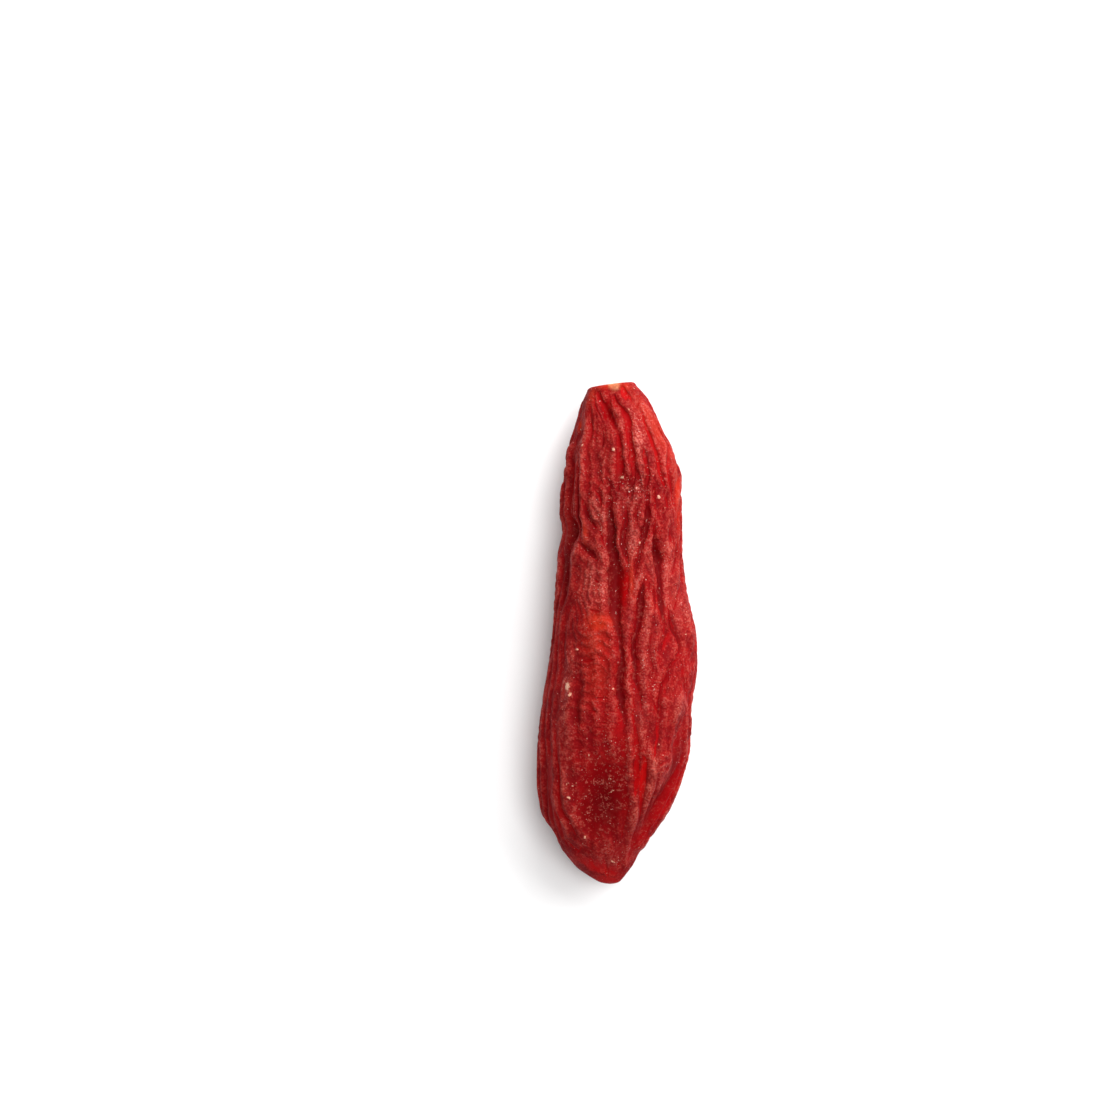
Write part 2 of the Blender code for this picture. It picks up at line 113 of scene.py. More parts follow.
# The stem end is cut across, a little askew, with a round rim and a shallow dish
CAP_RISE = 0.14
CAP_RIM = 0.22
CAP_DISH = 0.12
CAP_SLANT = 0.13
CAP_SLANT_REACH = 1.4

# How square the section is (1 is an ellipse, less is squarer)
SQUARENESS = 0.92

# Broad swellings and hollows of the upper side: x, y, half width, half length, height, and turn in
# degrees where they are turned
BROAD_FORMS = (
    (-0.75, -6.40, 1.10, 1.90, -0.60, 8.0),
    (1.95, -6.60, 0.65, 1.80, -0.50, -17.0),
    (-2.90, -5.60, 0.50, 2.20, -0.20),
    (-1.98, 6.20, 0.42, 2.40, -0.34, 4.0),
    (-2.15, 2.60, 0.36, 1.50, -0.24, 8.0),
    (-1.86, 4.10, 0.36, 0.46, -0.36),
    (-1.00, -0.80, 0.65, 2.20, 0.16),
    (-0.40, 8.80, 0.26, 0.60, -0.16, -14.0),
    (-0.85, 7.10, 0.50, 1.10, -0.14),
    (0.85, 7.60, 0.45, 1.20, 0.14),
    (2.30, -2.90, 0.50, 0.62, 0.20),
    (2.02, -0.20, 0.34, 1.00, -0.20, -24.0),
    (2.70, 0.60, 0.45, 1.30, 0.18),
    (1.65, 3.15, 0.28, 0.70, -0.20),
    (0.16, 1.80, 0.34, 1.10, -0.20),
    (2.45, -4.40, 0.42, 0.80, -0.22),
    (-0.50, -8.80, 0.60, 0.50, 0.12),
)

# Creases of the upper side: depth for a half width of 1, then points (x, y, half width) towards the tip
CREASES = (
    (1.5, ((-0.33, 5.45, 0.05), (-0.31, 4.80, 0.12), (-0.26, 4.10, 0.15), (-0.24, 3.30, 0.19),
           (-0.20, 2.60, 0.22), (-0.16, 2.00, 0.25), (-0.14, 1.50, 0.24), (-0.16, 0.90, 0.20),
           (-0.10, 0.30, 0.13), (0.03, -0.30, 0.08), (0.11, -0.75, 0.09), (0.07, -1.20, 0.10),
           (0.08, -1.80, 0.12), (0.12, -2.50, 0.12), (0.16, -3.10, 0.09), (0.20, -3.70, 0.04))),
    (1.5, ((-0.12, 9.45, 0.04), (-0.03, 9.10, 0.07), (0.22, 8.86, 0.08), (0.38, 8.45, 0.10),
           (0.42, 8.00, 0.10), (0.47, 7.55, 0.11), (0.54, 7.15, 0.12), (0.51, 6.75, 0.09),
           (0.58, 6.20, 0.08), (0.54, 5.80, 0.07), (0.47, 5.20, 0.04))),
    (1.5, ((0.98, 8.80, 0.04), (1.08, 8.40, 0.08), (1.20, 8.05, 0.10), (1.36, 7.60, 0.12),
           (1.55, 7.10, 0.13), (1.66, 6.60, 0.13), (1.77, 6.15, 0.11), (1.88, 5.70, 0.05))),
    (1.5, ((1.66, 8.15, 0.04), (1.86, 7.78, 0.09), (2.02, 7.40, 0.09), (2.05, 6.80, 0.09),
           (2.04, 6.25, 0.09), (2.15, 5.75, 0.08), (2.14, 5.30, 0.03))),
    (1.4, ((0.00, 7.90, 0.04), (0.05, 7.30, 0.09), (0.10, 6.80, 0.10), (0.11, 6.35, 0.09),
           (-0.02, 5.95, 0.08), (-0.10, 5.60, 0.04))),
    (1.4, ((0.98, 7.30, 0.04), (1.02, 6.90, 0.09), (1.10, 6.55, 0.10), (1.16, 6.00, 0.10),
           (1.05, 5.60, 0.06), (1.10, 5.30, 0.03))),
    (1.5, ((1.22, 5.40, 0.05), (1.20, 4.90, 0.12), (1.14, 4.40, 0.14), (1.06, 3.95, 0.17),
           (0.98, 3.60, 0.12), (0.84, 3.20, 0.08), (0.74, 2.85, 0.08), (0.65, 2.55, 0.07),
           (0.62, 2.10, 0.03))),
    (1.5, ((1.00, 2.10, 0.04), (0.95, 1.65, 0.13), (0.90, 1.15, 0.16), (0.80, 0.60, 0.14),
           (0.68, 0.05, 0.11), (0.60, -0.50, 0.11), (0.58, -1.05, 0.10), (0.64, -1.50, 0.08),
           (0.78, -2.05, 0.06), (0.88, -2.55, 0.05), (0.94, -3.20, 0.03))),
    (1.4, ((0.37, 5.00, 0.03), (0.32, 4.60, 0.08), (0.20, 4.15, 0.09), (0.16, 3.70, 0.10),
           (0.17, 3.30, 0.10), (0.28, 2.95, 0.07), (0.34, 2.70, 0.03))),
    (1.2, ((1.46, 4.50, 0.04), (1.46, 4.00, 0.09), (1.56, 3.50, 0.14), (1.66, 3.00, 0.24),
           (1.62, 2.50, 0.17), (1.70, 2.00, 0.14), (1.68, 1.50, 0.13), (1.72, 1.00, 0.12),
           (1.76, 0.50, 0.08), (1.80, 0.10, 0.04))),
    (1.2, ((1.92, 1.00, 0.04), (2.08, 0.55, 0.08), (2.26, 0.15, 0.09), (2.40, -0.25, 0.09),
           (2.42, -0.60, 0.08), (2.32, -0.92, 0.04))),
    (1.3, ((2.08, 4.30, 0.03), (2.10, 3.95, 0.07), (2.12, 3.65, 0.04))),
    (1.3, ((2.32, 3.50, 0.03), (2.35, 3.10, 0.08), (2.24, 2.70, 0.07), (2.14, 2.35, 0.04))),
    (1.0, ((2.56, 2.90, 0.04), (2.52, 2.20, 0.09), (2.30, 1.40, 0.04))),
    (1.3, ((2.00, -1.42, 0.05), (1.78, -1.85, 0.07), (1.66, -2.30, 0.08), (1.64, -2.75, 0.09),
           (1.60, -3.25, 0.09), (1.55, -3.65, 0.08), (1.50, -4.10, 0.06), (1.45, -4.70, 0.05),
           (1.42, -5.10, 0.03))),
    (1.3, ((2.42, -0.98, 0.03), (2.16, -1.20, 0.07), (1.98, -1.58, 0.08), (1.88, -2.00, 0.06),
           (1.82, -2.40, 0.03))),
    (1.3, ((2.60, -1.75, 0.03), (2.66, -2.15, 0.07), (2.78, -2.50, 0.03))),
    (1.4, ((-1.38, 5.30, 0.04), (-1.30, 4.88, 0.08), (-1.18, 4.58, 0.09), (-0.98, 4.33, 0.08),
           (-0.80, 4.18, 0.04))),
    (1.4, ((-1.62, 3.57, 0.04), (-1.40, 3.46, 0.10), (-1.20, 3.30, 0.12), (-1.00, 3.10, 0.11),
           (-0.84, 2.90, 0.05))),
    (1.5, ((-1.38, 8.15, 0.04), (-1.56, 7.88, 0.10), (-1.69, 7.55, 0.12), (-1.76, 7.15, 0.11),
           (-1.82, 6.75, 0.09), (-1.84, 6.20, 0.04))),
    (1.4, ((-1.60, 6.80, 0.04), (-1.55, 6.20, 0.08), (-1.60, 5.70, 0.10), (-1.56, 5.20, 0.11),
           (-1.58, 4.60, 0.11), (-1.52, 4.10, 0.08), (-1.58, 3.80, 0.04))),
    (1.2, ((-1.90, 5.90, 0.04), (-1.92, 5.20, 0.10), (-1.90, 4.50, 0.04))),
    (1.2, ((-0.74, 9.62, 0.08), (-0.64, 9.20, 0.14), (-0.46, 8.80, 0.18), (-0.24, 8.50, 0.16),
           (-0.12, 8.20, 0.08))),
    (1.3, ((-1.08, 9.00, 0.04), (-1.10, 8.50, 0.07), (-1.06, 8.00, 0.06), (-1.16, 7.60, 0.03))),
    (1.2, ((0.26, 9.70, 0.08), (0.33, 9.45, 0.14), (0.36, 9.25, 0.06))),
    (1.2, ((-2.10, 0.05, 0.03), (-2.14, -0.50, 0.06), (-2.10, -1.05, 0.03))),
    (0.6, ((-1.58, -1.20, 0.05), (-1.50, -2.10, 0.12), (-1.66, -3.20, 0.20), (-1.70, -3.80, 0.08))),
    (1.4, ((-2.45, -4.50, 0.04), (-2.40, -5.20, 0.08), (-2.37, -5.90, 0.09), (-2.35, -6.60, 0.09),
           (-2.24, -7.10, 0.09), (-2.00, -7.50, 0.08), (-1.74, -7.95, 0.04))),
    (1.3, ((-2.56, -6.70, 0.03), (-2.46, -7.15, 0.06), (-2.30, -7.65, 0.07), (-2.18, -8.15, 0.06),
           (-1.95, -8.55, 0.03))),
    (1.3, ((0.60, -2.40, 0.03), (0.62, -2.85, 0.05), (0.58, -3.25, 0.05), (0.64, -3.60, 0.06),
           (0.72, -4.00, 0.08), (0.78, -4.60, 0.10), (0.78, -5.20, 0.11), (0.75, -5.80, 0.10),
           (0.68, -6.50, 0.04))),
    (1.4, ((1.04, -4.80, 0.04), (1.05, -5.20, 0.11), (1.00, -5.70, 0.14), (0.97, -6.20, 0.12),
           (1.00, -6.80, 0.07), (0.94, -7.30, 0.05), (0.86, -7.70, 0.04))),
    (1.3, ((1.58, -6.10, 0.04), (1.50, -6.50, 0.11), (1.42, -7.00, 0.08), (1.36, -7.40, 0.04))),
    (1.3, ((-2.04, -8.25, 0.04), (-1.78, -8.52, 0.08), (-1.52, -8.66, 0.04))),
)

# Creases of the upper side that are too fine for the CAD solid, in the same form
FINE_CREASES = (
    (1.4, ((0.77, 4.98, 0.03), (0.73, 4.55, 0.07), (0.80, 4.22, 0.03))),
    (1.4, ((-0.64, 8.05, 0.02), (-0.60, 7.65, 0.05), (-0.66, 7.25, 0.03))),
    (1.4, ((-1.26, 3.02, 0.02), (-1.25, 2.80, 0.04), (-1.22, 2.55, 0.02))),
    (1.4, ((-0.94, 2.16, 0.02), (-0.84, 2.08, 0.05), (-0.64, 2.06, 0.02))),
    (1.5, ((-1.44, -1.06, 0.03), (-1.10, -1.00, 0.06), (-0.74, -0.94, 0.03))),
    (1.4, ((-1.06, -2.48, 0.02), (-0.66, -2.56, 0.05), (-0.28, -2.48, 0.02))),
    (1.4, ((-1.38, -3.00, 0.02), (-1.02, -3.02, 0.04), (-0.68, -2.98, 0.02))),
    (1.4, ((-1.14, 0.94, 0.02), (-0.86, 0.86, 0.06), (-0.44, 0.98, 0.02))),
    (1.4, ((-1.24, 0.60, 0.02), (-1.10, 0.36, 0.04), (-1.02, 0.10, 0.02))),
    (1.4, ((-0.24, -2.74, 0.02), (-0.44, -2.94, 0.05), (-0.78, -3.12, 0.02))),
    (1.4, ((-0.30, -3.30, 0.02), (-0.62, -3.45, 0.04), (-0.90, -3.40, 0.02))),
    (1.4, ((1.24, 2.14, 0.02), (1.25, 1.85, 0.06), (1.20, 1.50, 0.02))),
    (1.4, ((1.46, 2.00, 0.03), (1.46, 1.45, 0.07), (1.42, 0.90, 0.04))),
    (1.4, ((0.30, -1.50, 0.02), (0.34, -2.10, 0.03), (0.42, -2.80, 0.02))),
    (1.4, ((1.30, 0.35, 0.02), (1.28, -0.20, 0.05), (1.25, -0.70, 0.05), (1.30, -1.20, 0.05),
           (1.32, -1.90, 0.03))),
    (1.4, ((1.38, -2.50, 0.02), (1.44, -2.85, 0.05), (1.56, -3.15, 0.03))),
    (1.4, ((-0.78, 4.18, 0.02), (-0.62, 3.96, 0.05), (-0.55, 3.70, 0.05), (-0.50, 3.42, 0.04),
           (-0.44, 3.15, 0.02))),
    (1.4, ((-0.64, 6.04, 0.03), (-0.38, 5.76, 0.06), (-0.46, 5.45, 0.04), (-0.58, 5.10, 0.02))),
    (1.4, ((-0.92, 6.40, 0.02), (-0.74, 6.18, 0.05), (-0.62, 5.86, 0.02))),
    (1.4, ((-0.98, 5.70, 0.03), (-0.76, 5.36, 0.06), (-0.66, 4.95, 0.03))),
    (1.4, ((0.28, 6.30, 0.03), (0.36, 5.90, 0.07), (0.30, 5.40, 0.03))),
    (1.4, ((0.70, 6.40, 0.03), (0.82, 6.00, 0.07), (0.90, 5.55, 0.04))),
    (1.4, ((1.48, 5.90, 0.02), (1.50, 5.40, 0.06), (1.50, 4.85, 0.03))),
    (1.4, ((1.80, 5.60, 0.02), (1.92, 5.30, 0.06), (1.96, 4.90, 0.03))),
    (1.2, ((2.28, 6.20, 0.02), (2.32, 5.60, 0.05), (2.24, 5.10, 0.02))),
    (1.2, ((2.40, 5.20, 0.02), (2.42, 4.60, 0.04), (2.36, 4.10, 0.02))),
    (1.3, ((0.02, -9.34, 0.03), (0.08, -9.18, 0.08), (0.12, -9.00, 0.03))),
    (1.3, ((-1.72, -8.95, 0.02), (-1.52, -8.62, 0.05), (-1.36, -8.28, 0.02))),
    (1.2, ((-1.16, -8.80, 0.02), (-0.98, -9.14, 0.05), (-0.76, -9.48, 0.02))),
    (1.2, ((-0.46, -8.90, 0.02), (-0.40, -9.34, 0.06), (-0.30, -9.80, 0.03))),
    (0.9, ((0.92, -7.00, 0.02), (0.88, -7.50, 0.05), (0.76, -8.00, 0.05), (0.60, -8.60, 0.03))),
    (0.9, ((0.44, -6.50, 0.02), (0.40, -7.20, 0.05), (0.30, -7.80, 0.05), (0.10, -8.30, 0.03))),
    (1.3, ((2.28, -1.60, 0.02), (2.44, -1.90, 0.04), (2.52, -2.15, 0.02))),
    (1.3, ((2.34, 1.40, 0.02), (2.28, 1.10, 0.05), (2.20, 0.80, 0.02))),
    (1.3, ((2.62, 1.50, 0.02), (2.50, 1.10, 0.04), (2.46, 0.70, 0.02))),
    (1.3, ((-0.90, 9.40, 0.03), (-0.86, 9.00, 0.05), (-0.70, 8.60, 0.04), (-0.66, 8.30, 0.02))),
    (1.3, ((-1.20, 9.30, 0.02), (-1.22, 8.90, 0.04), (-1.20, 8.50, 0.02))),
    (1.3, ((0.56, 9.55, 0.02), (0.50, 9.30, 0.04), (0.62, 9.10, 0.02))),
    (1.3, ((0.90, 9.30, 0.02), (0.82, 9.05, 0.04), (0.70, 8.85, 0.02))),
    (1.3, ((-1.98, 4.20, 0.03), (-2.02, 3.40, 0.07), (-2.06, 2.60, 0.05), (-2.16, 1.90, 0.03))),
    (1.3, ((-1.88, 2.90, 0.02), (-1.94, 2.30, 0.05), (-2.06, 1.70, 0.03))),
    (1.3, ((-2.34, 0.20, 0.02), (-2.40, -0.60, 0.05), (-2.46, -1.40, 0.03))),
)

# Raised folds of the upper side: height for a half width of 1, then points (x, y, half width)
FOLDS = (
    (0.9, ((-1.22, 9.20, 0.10), (-1.24, 8.20, 0.13), (-1.42, 7.40, 0.17), (-1.40, 6.20, 0.18),
           (-1.44, 5.20, 0.16), (-1.30, 4.30, 0.18), (-1.36, 3.70, 0.16), (-1.70, 3.10, 0.18),
           (-1.84, 2.20, 0.20), (-2.04, 1.30, 0.22), (-2.24, 0.50, 0.20), (-2.44, -0.60, 0.16))),
    (0.9, ((-0.22, 9.35, 0.05), (-0.14, 9.02, 0.08), (0.10, 8.74, 0.09), (0.24, 8.40, 0.09),
           (0.28, 8.00, 0.09), (0.26, 7.40, 0.10), (0.28, 6.80, 0.10), (0.30, 6.30, 0.07))),
    (0.9, ((-0.84, 9.20, 0.05), (-0.74, 8.88, 0.08), (-0.58, 8.52, 0.08), (-0.52, 8.20, 0.04))),
    (0.9, ((0.00, 4.50, 0.06), (-0.02, 3.90, 0.09), (0.02, 3.40, 0.09), (0.06, 2.95, 0.06))),
    (0.9, ((0.52, 2.90, 0.06), (0.55, 2.40, 0.09), (0.50, 1.90, 0.11), (0.44, 1.40, 0.13),
           (0.36, 0.80, 0.15), (0.30, 0.20, 0.16), (0.32, -0.60, 0.13), (0.34, -1.40, 0.11),
           (0.44, -2.20, 0.10), (0.52, -2.90, 0.08))),
    (0.8, ((1.30, 1.95, 0.05), (1.30, 1.50, 0.08), (1.25, 1.00, 0.09), (1.22, 0.40, 0.10),
           (1.00, -0.60, 0.14), (0.92, -1.40, 0.16), (1.02, -2.20, 0.15), (1.16, -3.10, 0.12))),
    (0.8, ((-1.88, -0.40, 0.18), (-1.86, -1.40, 0.20), (-1.92, -2.30, 0.20), (-2.06, -3.20, 0.22),
           (-2.06, -4.40, 0.20), (-2.16, -5.60, 0.20), (-2.12, -6.60, 0.22), (-1.84, -7.40, 0.24),
           (-1.46, -8.05, 0.20))),
    (0.9, ((-2.60, -6.20, 0.08), (-2.50, -6.80, 0.10), (-2.32, -7.30, 0.10), (-2.10, -7.75, 0.10),
           (-1.98, -8.10, 0.07))),
    (1.0, ((0.60, -6.40, 0.13), (0.68, -7.10, 0.18), (0.66, -7.70, 0.19), (0.52, -8.25, 0.17),
           (0.42, -8.80, 0.14), (0.40, -9.30, 0.09))),
    (0.8, ((1.36, -4.60, 0.16), (1.44, -5.30, 0.22), (1.40, -6.00, 0.18), (1.30, -6.70, 0.12),
           (1.26, -7.20, 0.10), (1.14, -7.60, 0.06))),
    (0.8, ((0.88, -4.60, 0.05), (0.90, -5.40, 0.08), (0.86, -6.10, 0.08), (0.78, -6.60, 0.06))),
    (0.8, ((0.50, -3.30, 0.08), (0.50, -4.00, 0.11), (0.54, -4.80, 0.11), (0.52, -5.60, 0.08))),
    (0.9, ((1.62, 7.90, 0.05), (1.82, 7.50, 0.08), (1.88, 6.90, 0.08), (1.90, 6.30, 0.06))),
)

# Folds that are too fine for the CAD solid, in the same form
FINE_FOLDS = (
    (0.7, ((0.20, 2.70, 0.06), (0.24, 2.10, 0.13), (0.24, 1.50, 0.14), (0.18, 0.90, 0.07))),
    (0.7, ((-0.30, -2.60, 0.06), (-0.42, -3.20, 0.16), (-0.36, -3.90, 0.16), (-0.20, -4.60, 0.08))),
    (0.8, ((2.10, 0.30, 0.05), (2.24, -0.05, 0.08), (2.34, -0.40, 0.07), (2.26, -0.75, 0.04))),
)

# Creases of the flanks and the underside follow a rule: they run lengthwise, in lanes side by side
HIDDEN_SEED = 11
HIDDEN_FROM_DEG = 92.0
HIDDEN_TO_DEG = 268.0
HIDDEN_LANES = 12
HIDDEN_STEEPNESS = 1.25
HIDDEN_WIDTH = (0.09, 0.25)
HIDDEN_TAPER = 0.25
HIDDEN_RUN = (2.5, 7.0)
HIDDEN_SWAY_DEG = 7.0
HIDDEN_GAP = 0.9
HIDDEN_ENDS = (-9.2, 9.3)

# Where the berry presses on the surface it is smooth, and it wrinkles again this far above it
PRESSED_HEIGHT = 0.06
WRINKLED_HEIGHT = 0.40

# Strokes are followed in short straight steps, and fade out this many half widths away
STROKE_STEP = 0.12
STROKE_REACH = 2.0
CREASE_SHAPE = 2.6
FOLD_SHAPE = 2.0

# A stroke changes the finish too, the more so the wider and the steeper it is between these
STROKE_SHOWS = (0.015, 0.05)
STEEP_SHOWS = (0.2, 1.2)

# The finish is laid out in soft patches: x, y, half width, half length, strength, and turn in
# degrees where they are turned
PATCHES = {
    # Skin that is smooth and bare of dust
    "bare": (
        (-0.70, -6.40, 1.15, 1.90, 1.00, 8.0),
        (-0.85, -9.30, 1.20, 0.50, 0.72, -31.0),
        (-0.30, -10.00, 0.80, 0.35, 0.72),
        (1.90, -6.90, 0.75, 2.40, 1.00, -22.0),
        (2.60, -4.60, 0.50, 1.20, 0.90),
        (2.06, -0.20, 0.26, 0.90, 0.55, -24.0),
        (0.30, -4.40, 0.26, 1.20, 0.70),
        (0.90, -5.60, 0.24, 1.10, 0.80),
        (2.50, -1.50, 0.42, 0.30, 0.62),
        (0.24, 1.80, 0.26, 1.20, 1.00),
        (-0.46, 8.86, 0.22, 0.66, 0.90, -14.0),
        (0.00, -3.70, 0.36, 1.20, 0.62),
        (-2.80, -6.20, 0.40, 2.40, 0.90, 6.0),
        (-2.20, 3.00, 0.40, 2.60, 0.80, 8.0),
        (-1.90, 6.40, 0.30, 1.60, 0.60, 4.0),
    ),
    # Bare skin that is thick and dark, and painted shade on the left flank and the lower right flank,
    # which face away from the light, in the main groove and in the broad hollow of the lower half
    "dark_and_shade": (
        (-0.70, -6.70, 1.15, 1.80, 1.00, 8.0),
        (-0.20, 2.20, 0.16, 1.60, 1.00),
        (-2.20, 2.60, 0.40, 2.60, 1.00, 8.0),
        (-1.70, 4.80, 0.26, 1.10, 0.90),
        (-0.75, 7.30, 0.50, 1.30, 0.80),
        (-2.00, -3.90, 0.40, 1.70, 1.00),
        (1.15, -1.00, 0.45, 1.50, 0.70),
        (2.30, -2.90, 0.50, 0.70, 0.50),
        (0.60, 5.55, 1.00, 0.85, 1.00),
        (1.40, 3.90, 0.30, 1.20, 0.50),
        (-1.00, -4.60, 0.90, 0.70, 0.50),
        (-1.90, 6.30, 0.26, 0.80, 0.60),
        (-2.90, -6.40, 0.40, 2.40, 0.60, 6.0),
        (2.10, -6.00, 0.60, 2.60, 0.90, -18.0),
    ),
    # Thin skin that shows the orange flesh, and a painted glow of light through the rims of the stem end
    # and the right edge, and a painted pool of light on the upper right flank
    "flesh_and_glow": (
        (-0.74, 0.46, 0.46, 0.36, 1.00),
        (-0.90, -0.30, 0.50, 0.60, 0.45),
        (-0.80, -1.70, 0.45, 0.90, 0.30),
        (-1.05, 9.55, 0.22, 0.40, 0.80),
        (-1.60, 8.25, 0.14, 0.20, 1.00),
        (-0.40, 9.90, 0.60, 0.12, 0.80),
        (0.30, 9.75, 0.24, 0.16, 0.80),
        (-1.30, 4.05, 0.14, 0.45, 0.70, 16.0),
        (2.40, 5.60, 0.26, 1.60, 0.70),
        (1.55, 8.10, 0.45, 1.30, 0.60, 14.0),
        (0.50, 2.20, 0.08, 0.70, 0.80),
    ),
    # Smooth skin painted bright red as a glow of light let through thin skin: painted glow, which also
    # lifts the tip out of its shade
    "thin_glow": (
        (-0.60, -9.60, 1.00, 0.45, 0.50, -31.0),
        (0.95, -5.70, 0.32, 1.20, 0.60),
        (0.26, 1.80, 0.18, 1.20, 0.30),
        (1.65, 7.00, 0.30, 1.20, 0.30),
        (0.30, 9.55, 0.26, 0.26, 0.40),
    ),
    # Rough, crumpled skin
    "rough": (
        (-0.80, -0.90, 0.70, 1.90, 1.00),
        (-1.00, 2.00, 0.80, 2.60, 0.30),
        (0.60, 4.20, 1.00, 1.60, 0.80),
        (0.60, 5.80, 1.20, 0.90, 1.00),
        (-0.90, 5.00, 0.50, 0.60, 0.70),
        (1.40, -1.20, 0.30, 1.60, 0.60),
        (1.50, -5.20, 0.40, 1.00, 0.70),
    ),
    # Skin that is thick with pale dust, which also carries a painted sheen
    "dust_and_sheen": (
        (-1.00, 2.20, 0.55, 1.20, 1.00),
        (-0.90, 4.70, 0.45, 0.70, 0.90),
        (0.80, 7.40, 0.26, 1.40, 0.80),
        (1.40, 8.30, 0.36, 1.20, 0.90, 16.0),
        (2.30, 6.40, 0.20, 1.00, 0.60),
        (0.50, 3.90, 0.35, 1.10, 0.80),
        (1.30, 2.80, 0.25, 0.60, 0.80),
        (2.20, 1.60, 0.50, 1.60, 0.60),
        (2.05, 4.00, 0.25, 1.00, 0.60),
        (2.30, -2.85, 0.44, 0.60, 0.50),
        (1.15, 0.00, 0.22, 1.60, 0.60),
        (-1.94, -1.90, 0.24, 1.60, 1.00),
        (-1.98, -4.40, 0.16, 0.90, 0.50),
        (-2.10, -6.00, 0.20, 1.40, 0.50),
        (0.62, -7.60, 0.26, 1.30, 0.25),
        (1.36, -5.50, 0.22, 1.00, 0.90),
        (-0.90, -8.50, 0.60, 0.36, 0.20),
        (0.00, -9.15, 0.24, 0.20, 0.60),
        (0.90, -3.40, 0.30, 0.80, 0.60),
        (-0.75, 6.90, 0.45, 1.00, 0.30),
    ),
    # Skin strewn with small pale flecks, also where it is smooth
    "flecked": (
        (-0.80, -6.20, 1.30, 2.00, 0.85, 8.0),
        (-1.95, -6.10, 0.26, 1.20, 1.00),
        (-0.90, -8.45, 0.70, 0.40, 0.90),
        (0.00, -9.10, 0.40, 0.34, 1.00),
        (0.50, 5.70, 1.50, 0.90, 0.80),
        (-0.90, 4.80, 0.60, 0.80, 0.80),
        (-0.90, 2.00, 0.70, 1.20, 0.50),
        (0.70, 3.30, 0.50, 1.20, 0.60),
        (-1.90, -2.20, 0.40, 1.80, 0.60),
        (1.20, -1.20, 0.50, 1.60, 0.50),
        (-0.20, -4.60, 1.40, 0.80, 0.70),
        (1.60, -5.20, 0.40, 1.20, 0.60),
    ),
    # Pale flakes and crumbs of dried sap
    "flakes": (
        (-1.92, -2.10, 0.19, 0.18, 0.78),
        (-1.80, -2.36, 0.11, 0.13, 0.75),
        (-1.60, -0.62, 0.09, 0.04, 0.80, -20.0),
        (-0.16, -2.14, 0.06, 0.07, 0.80),
        (-0.22, 7.26, 0.06, 0.10, 0.80),
        (-1.36, 7.44, 0.04, 0.06, 0.90),
        (0.64, 9.62, 0.05, 0.05, 0.70),
        (0.44, 8.84, 0.06, 0.07, 0.60, 30.0),
        (0.62, 8.70, 0.06, 0.05, 0.50),
        (1.12, 7.90, 0.11, 0.13, 0.50),
        (0.18, 6.16, 0.05, 0.06, 0.90),
        (0.10, 5.72, 0.04, 0.05, 0.90),
        (0.88, 6.34, 0.06, 0.10, 0.50),
        (1.64, 5.36, 0.05, 0.09, 1.00, 20.0),
        (1.80, 4.98, 0.03, 0.06, 0.60, 30.0),
        (0.84, 3.58, 0.06, 0.09, 0.70, -30.0),
        (-1.20, -4.80, 0.07, 0.09, 0.60),
        (-1.36, -8.06, 0.06, 0.09, 0.70),
        (2.62, -0.02, 0.05, 0.06, 0.80, 30.0),
        (-1.00, -1.50, 0.04, 0.07, 0.60, -30.0),
        (0.44, -1.56, 0.05, 0.04, 0.60),
        (1.60, -4.34, 0.06, 0.05, 0.60),
        (-2.04, -5.92, 0.07, 0.05, 0.75, 20.0),
        (-1.90, -6.02, 0.07, 0.05, 0.80, -30.0),
        (-1.76, -5.92, 0.05, 0.06, 0.65),
        (-2.13, -6.40, 0.05, 0.05, 0.65),
        (-2.02, -6.52, 0.09, 0.06, 0.80, -25.0),
        (-1.92, -6.40, 0.04, 0.05, 0.65),
        (-0.22, -5.68, 0.15, 0.15, 0.48),
        (-0.25, -6.20, 0.24, 0.20, 0.45),
        (-0.16, -9.12, 0.12, 0.08, 0.60),
        (0.10, -9.05, 0.07, 0.05, 0.60),
    ),
}

# The scar that the stalk left, from the middle of the stem end up over its rim: place and half sizes
SCAR_AT = (-0.15, 9.80, 3.08)
SCAR_RADIUS = (0.26, 0.25, 0.42)
SCAR_STRENGTH = 1.4

# Painted shade: creases are darkened along the middle of the berry, where they are this deep, and round
# its back
CREASE_SHADE_FROM = (-4.5, -2.5)
CREASE_SHADE_TO = (6.5, 4.5)
CREASE_SHADE_DEPTHS = (0.02, 0.13)
CREASE_SHADE_BACK = 0.8

# No part of the skin is quite without flecks
LEAST_FLECKED = 0.25

# The relief sets the finish too: small dents lose their dust, which paints shade into them, wide hollows
# are smooth, and ridges get dust and a painted sheen. Each is told by how far a point lies below or
# above the rings and columns round it
DENT_REACH = (3, 3)
DENT_DEPTHS = (-0.02, 0.02)
HOLLOW_REACH = (7, 8)
HOLLOW_DEPTHS = (0.05, 0.14)
HOLLOW_SMOOTH = 0.8
RIDGE_HEIGHTS = (0.02, 0.12)
RIDGE_DUST_AND_SHEEN = 0.4

# Values of the noise between which each part of the finish comes in
SMOOTH_EDGE = (0.42, 0.74)
SUGAR_EDGE = (0.40, 0.62)
CLOUD_EDGE = (0.42, 0.58)
HAZE_EDGE = (0.48, 0.62)
FLECK_EDGE = (0.54, 0.61)
GLINT_EDGE = (0.75, 0.79)
FLAKE_EDGE = (0.42, 0.56)
SCAR_EDGE = (0.12, 0.80)
SCAR_MOTTLE = (0.38, 0.60)
PALE_EDGE = (0.36, 0.58)

# How far red, green and blue light travel in the flesh, as shares of the glow depth
GLOW_COLOURS = (1.0, 0.14, 0.08)

# Wrinkles that the drying skin throws up by itself: pull of the creases, spacing, stretch along, seed
WRINKLES = (4.0, 0.52, 2.4, 5)
RIPPLES = (2.0, 0.25, 1.4, 8)
WRINKLE_FLOOR = -0.3

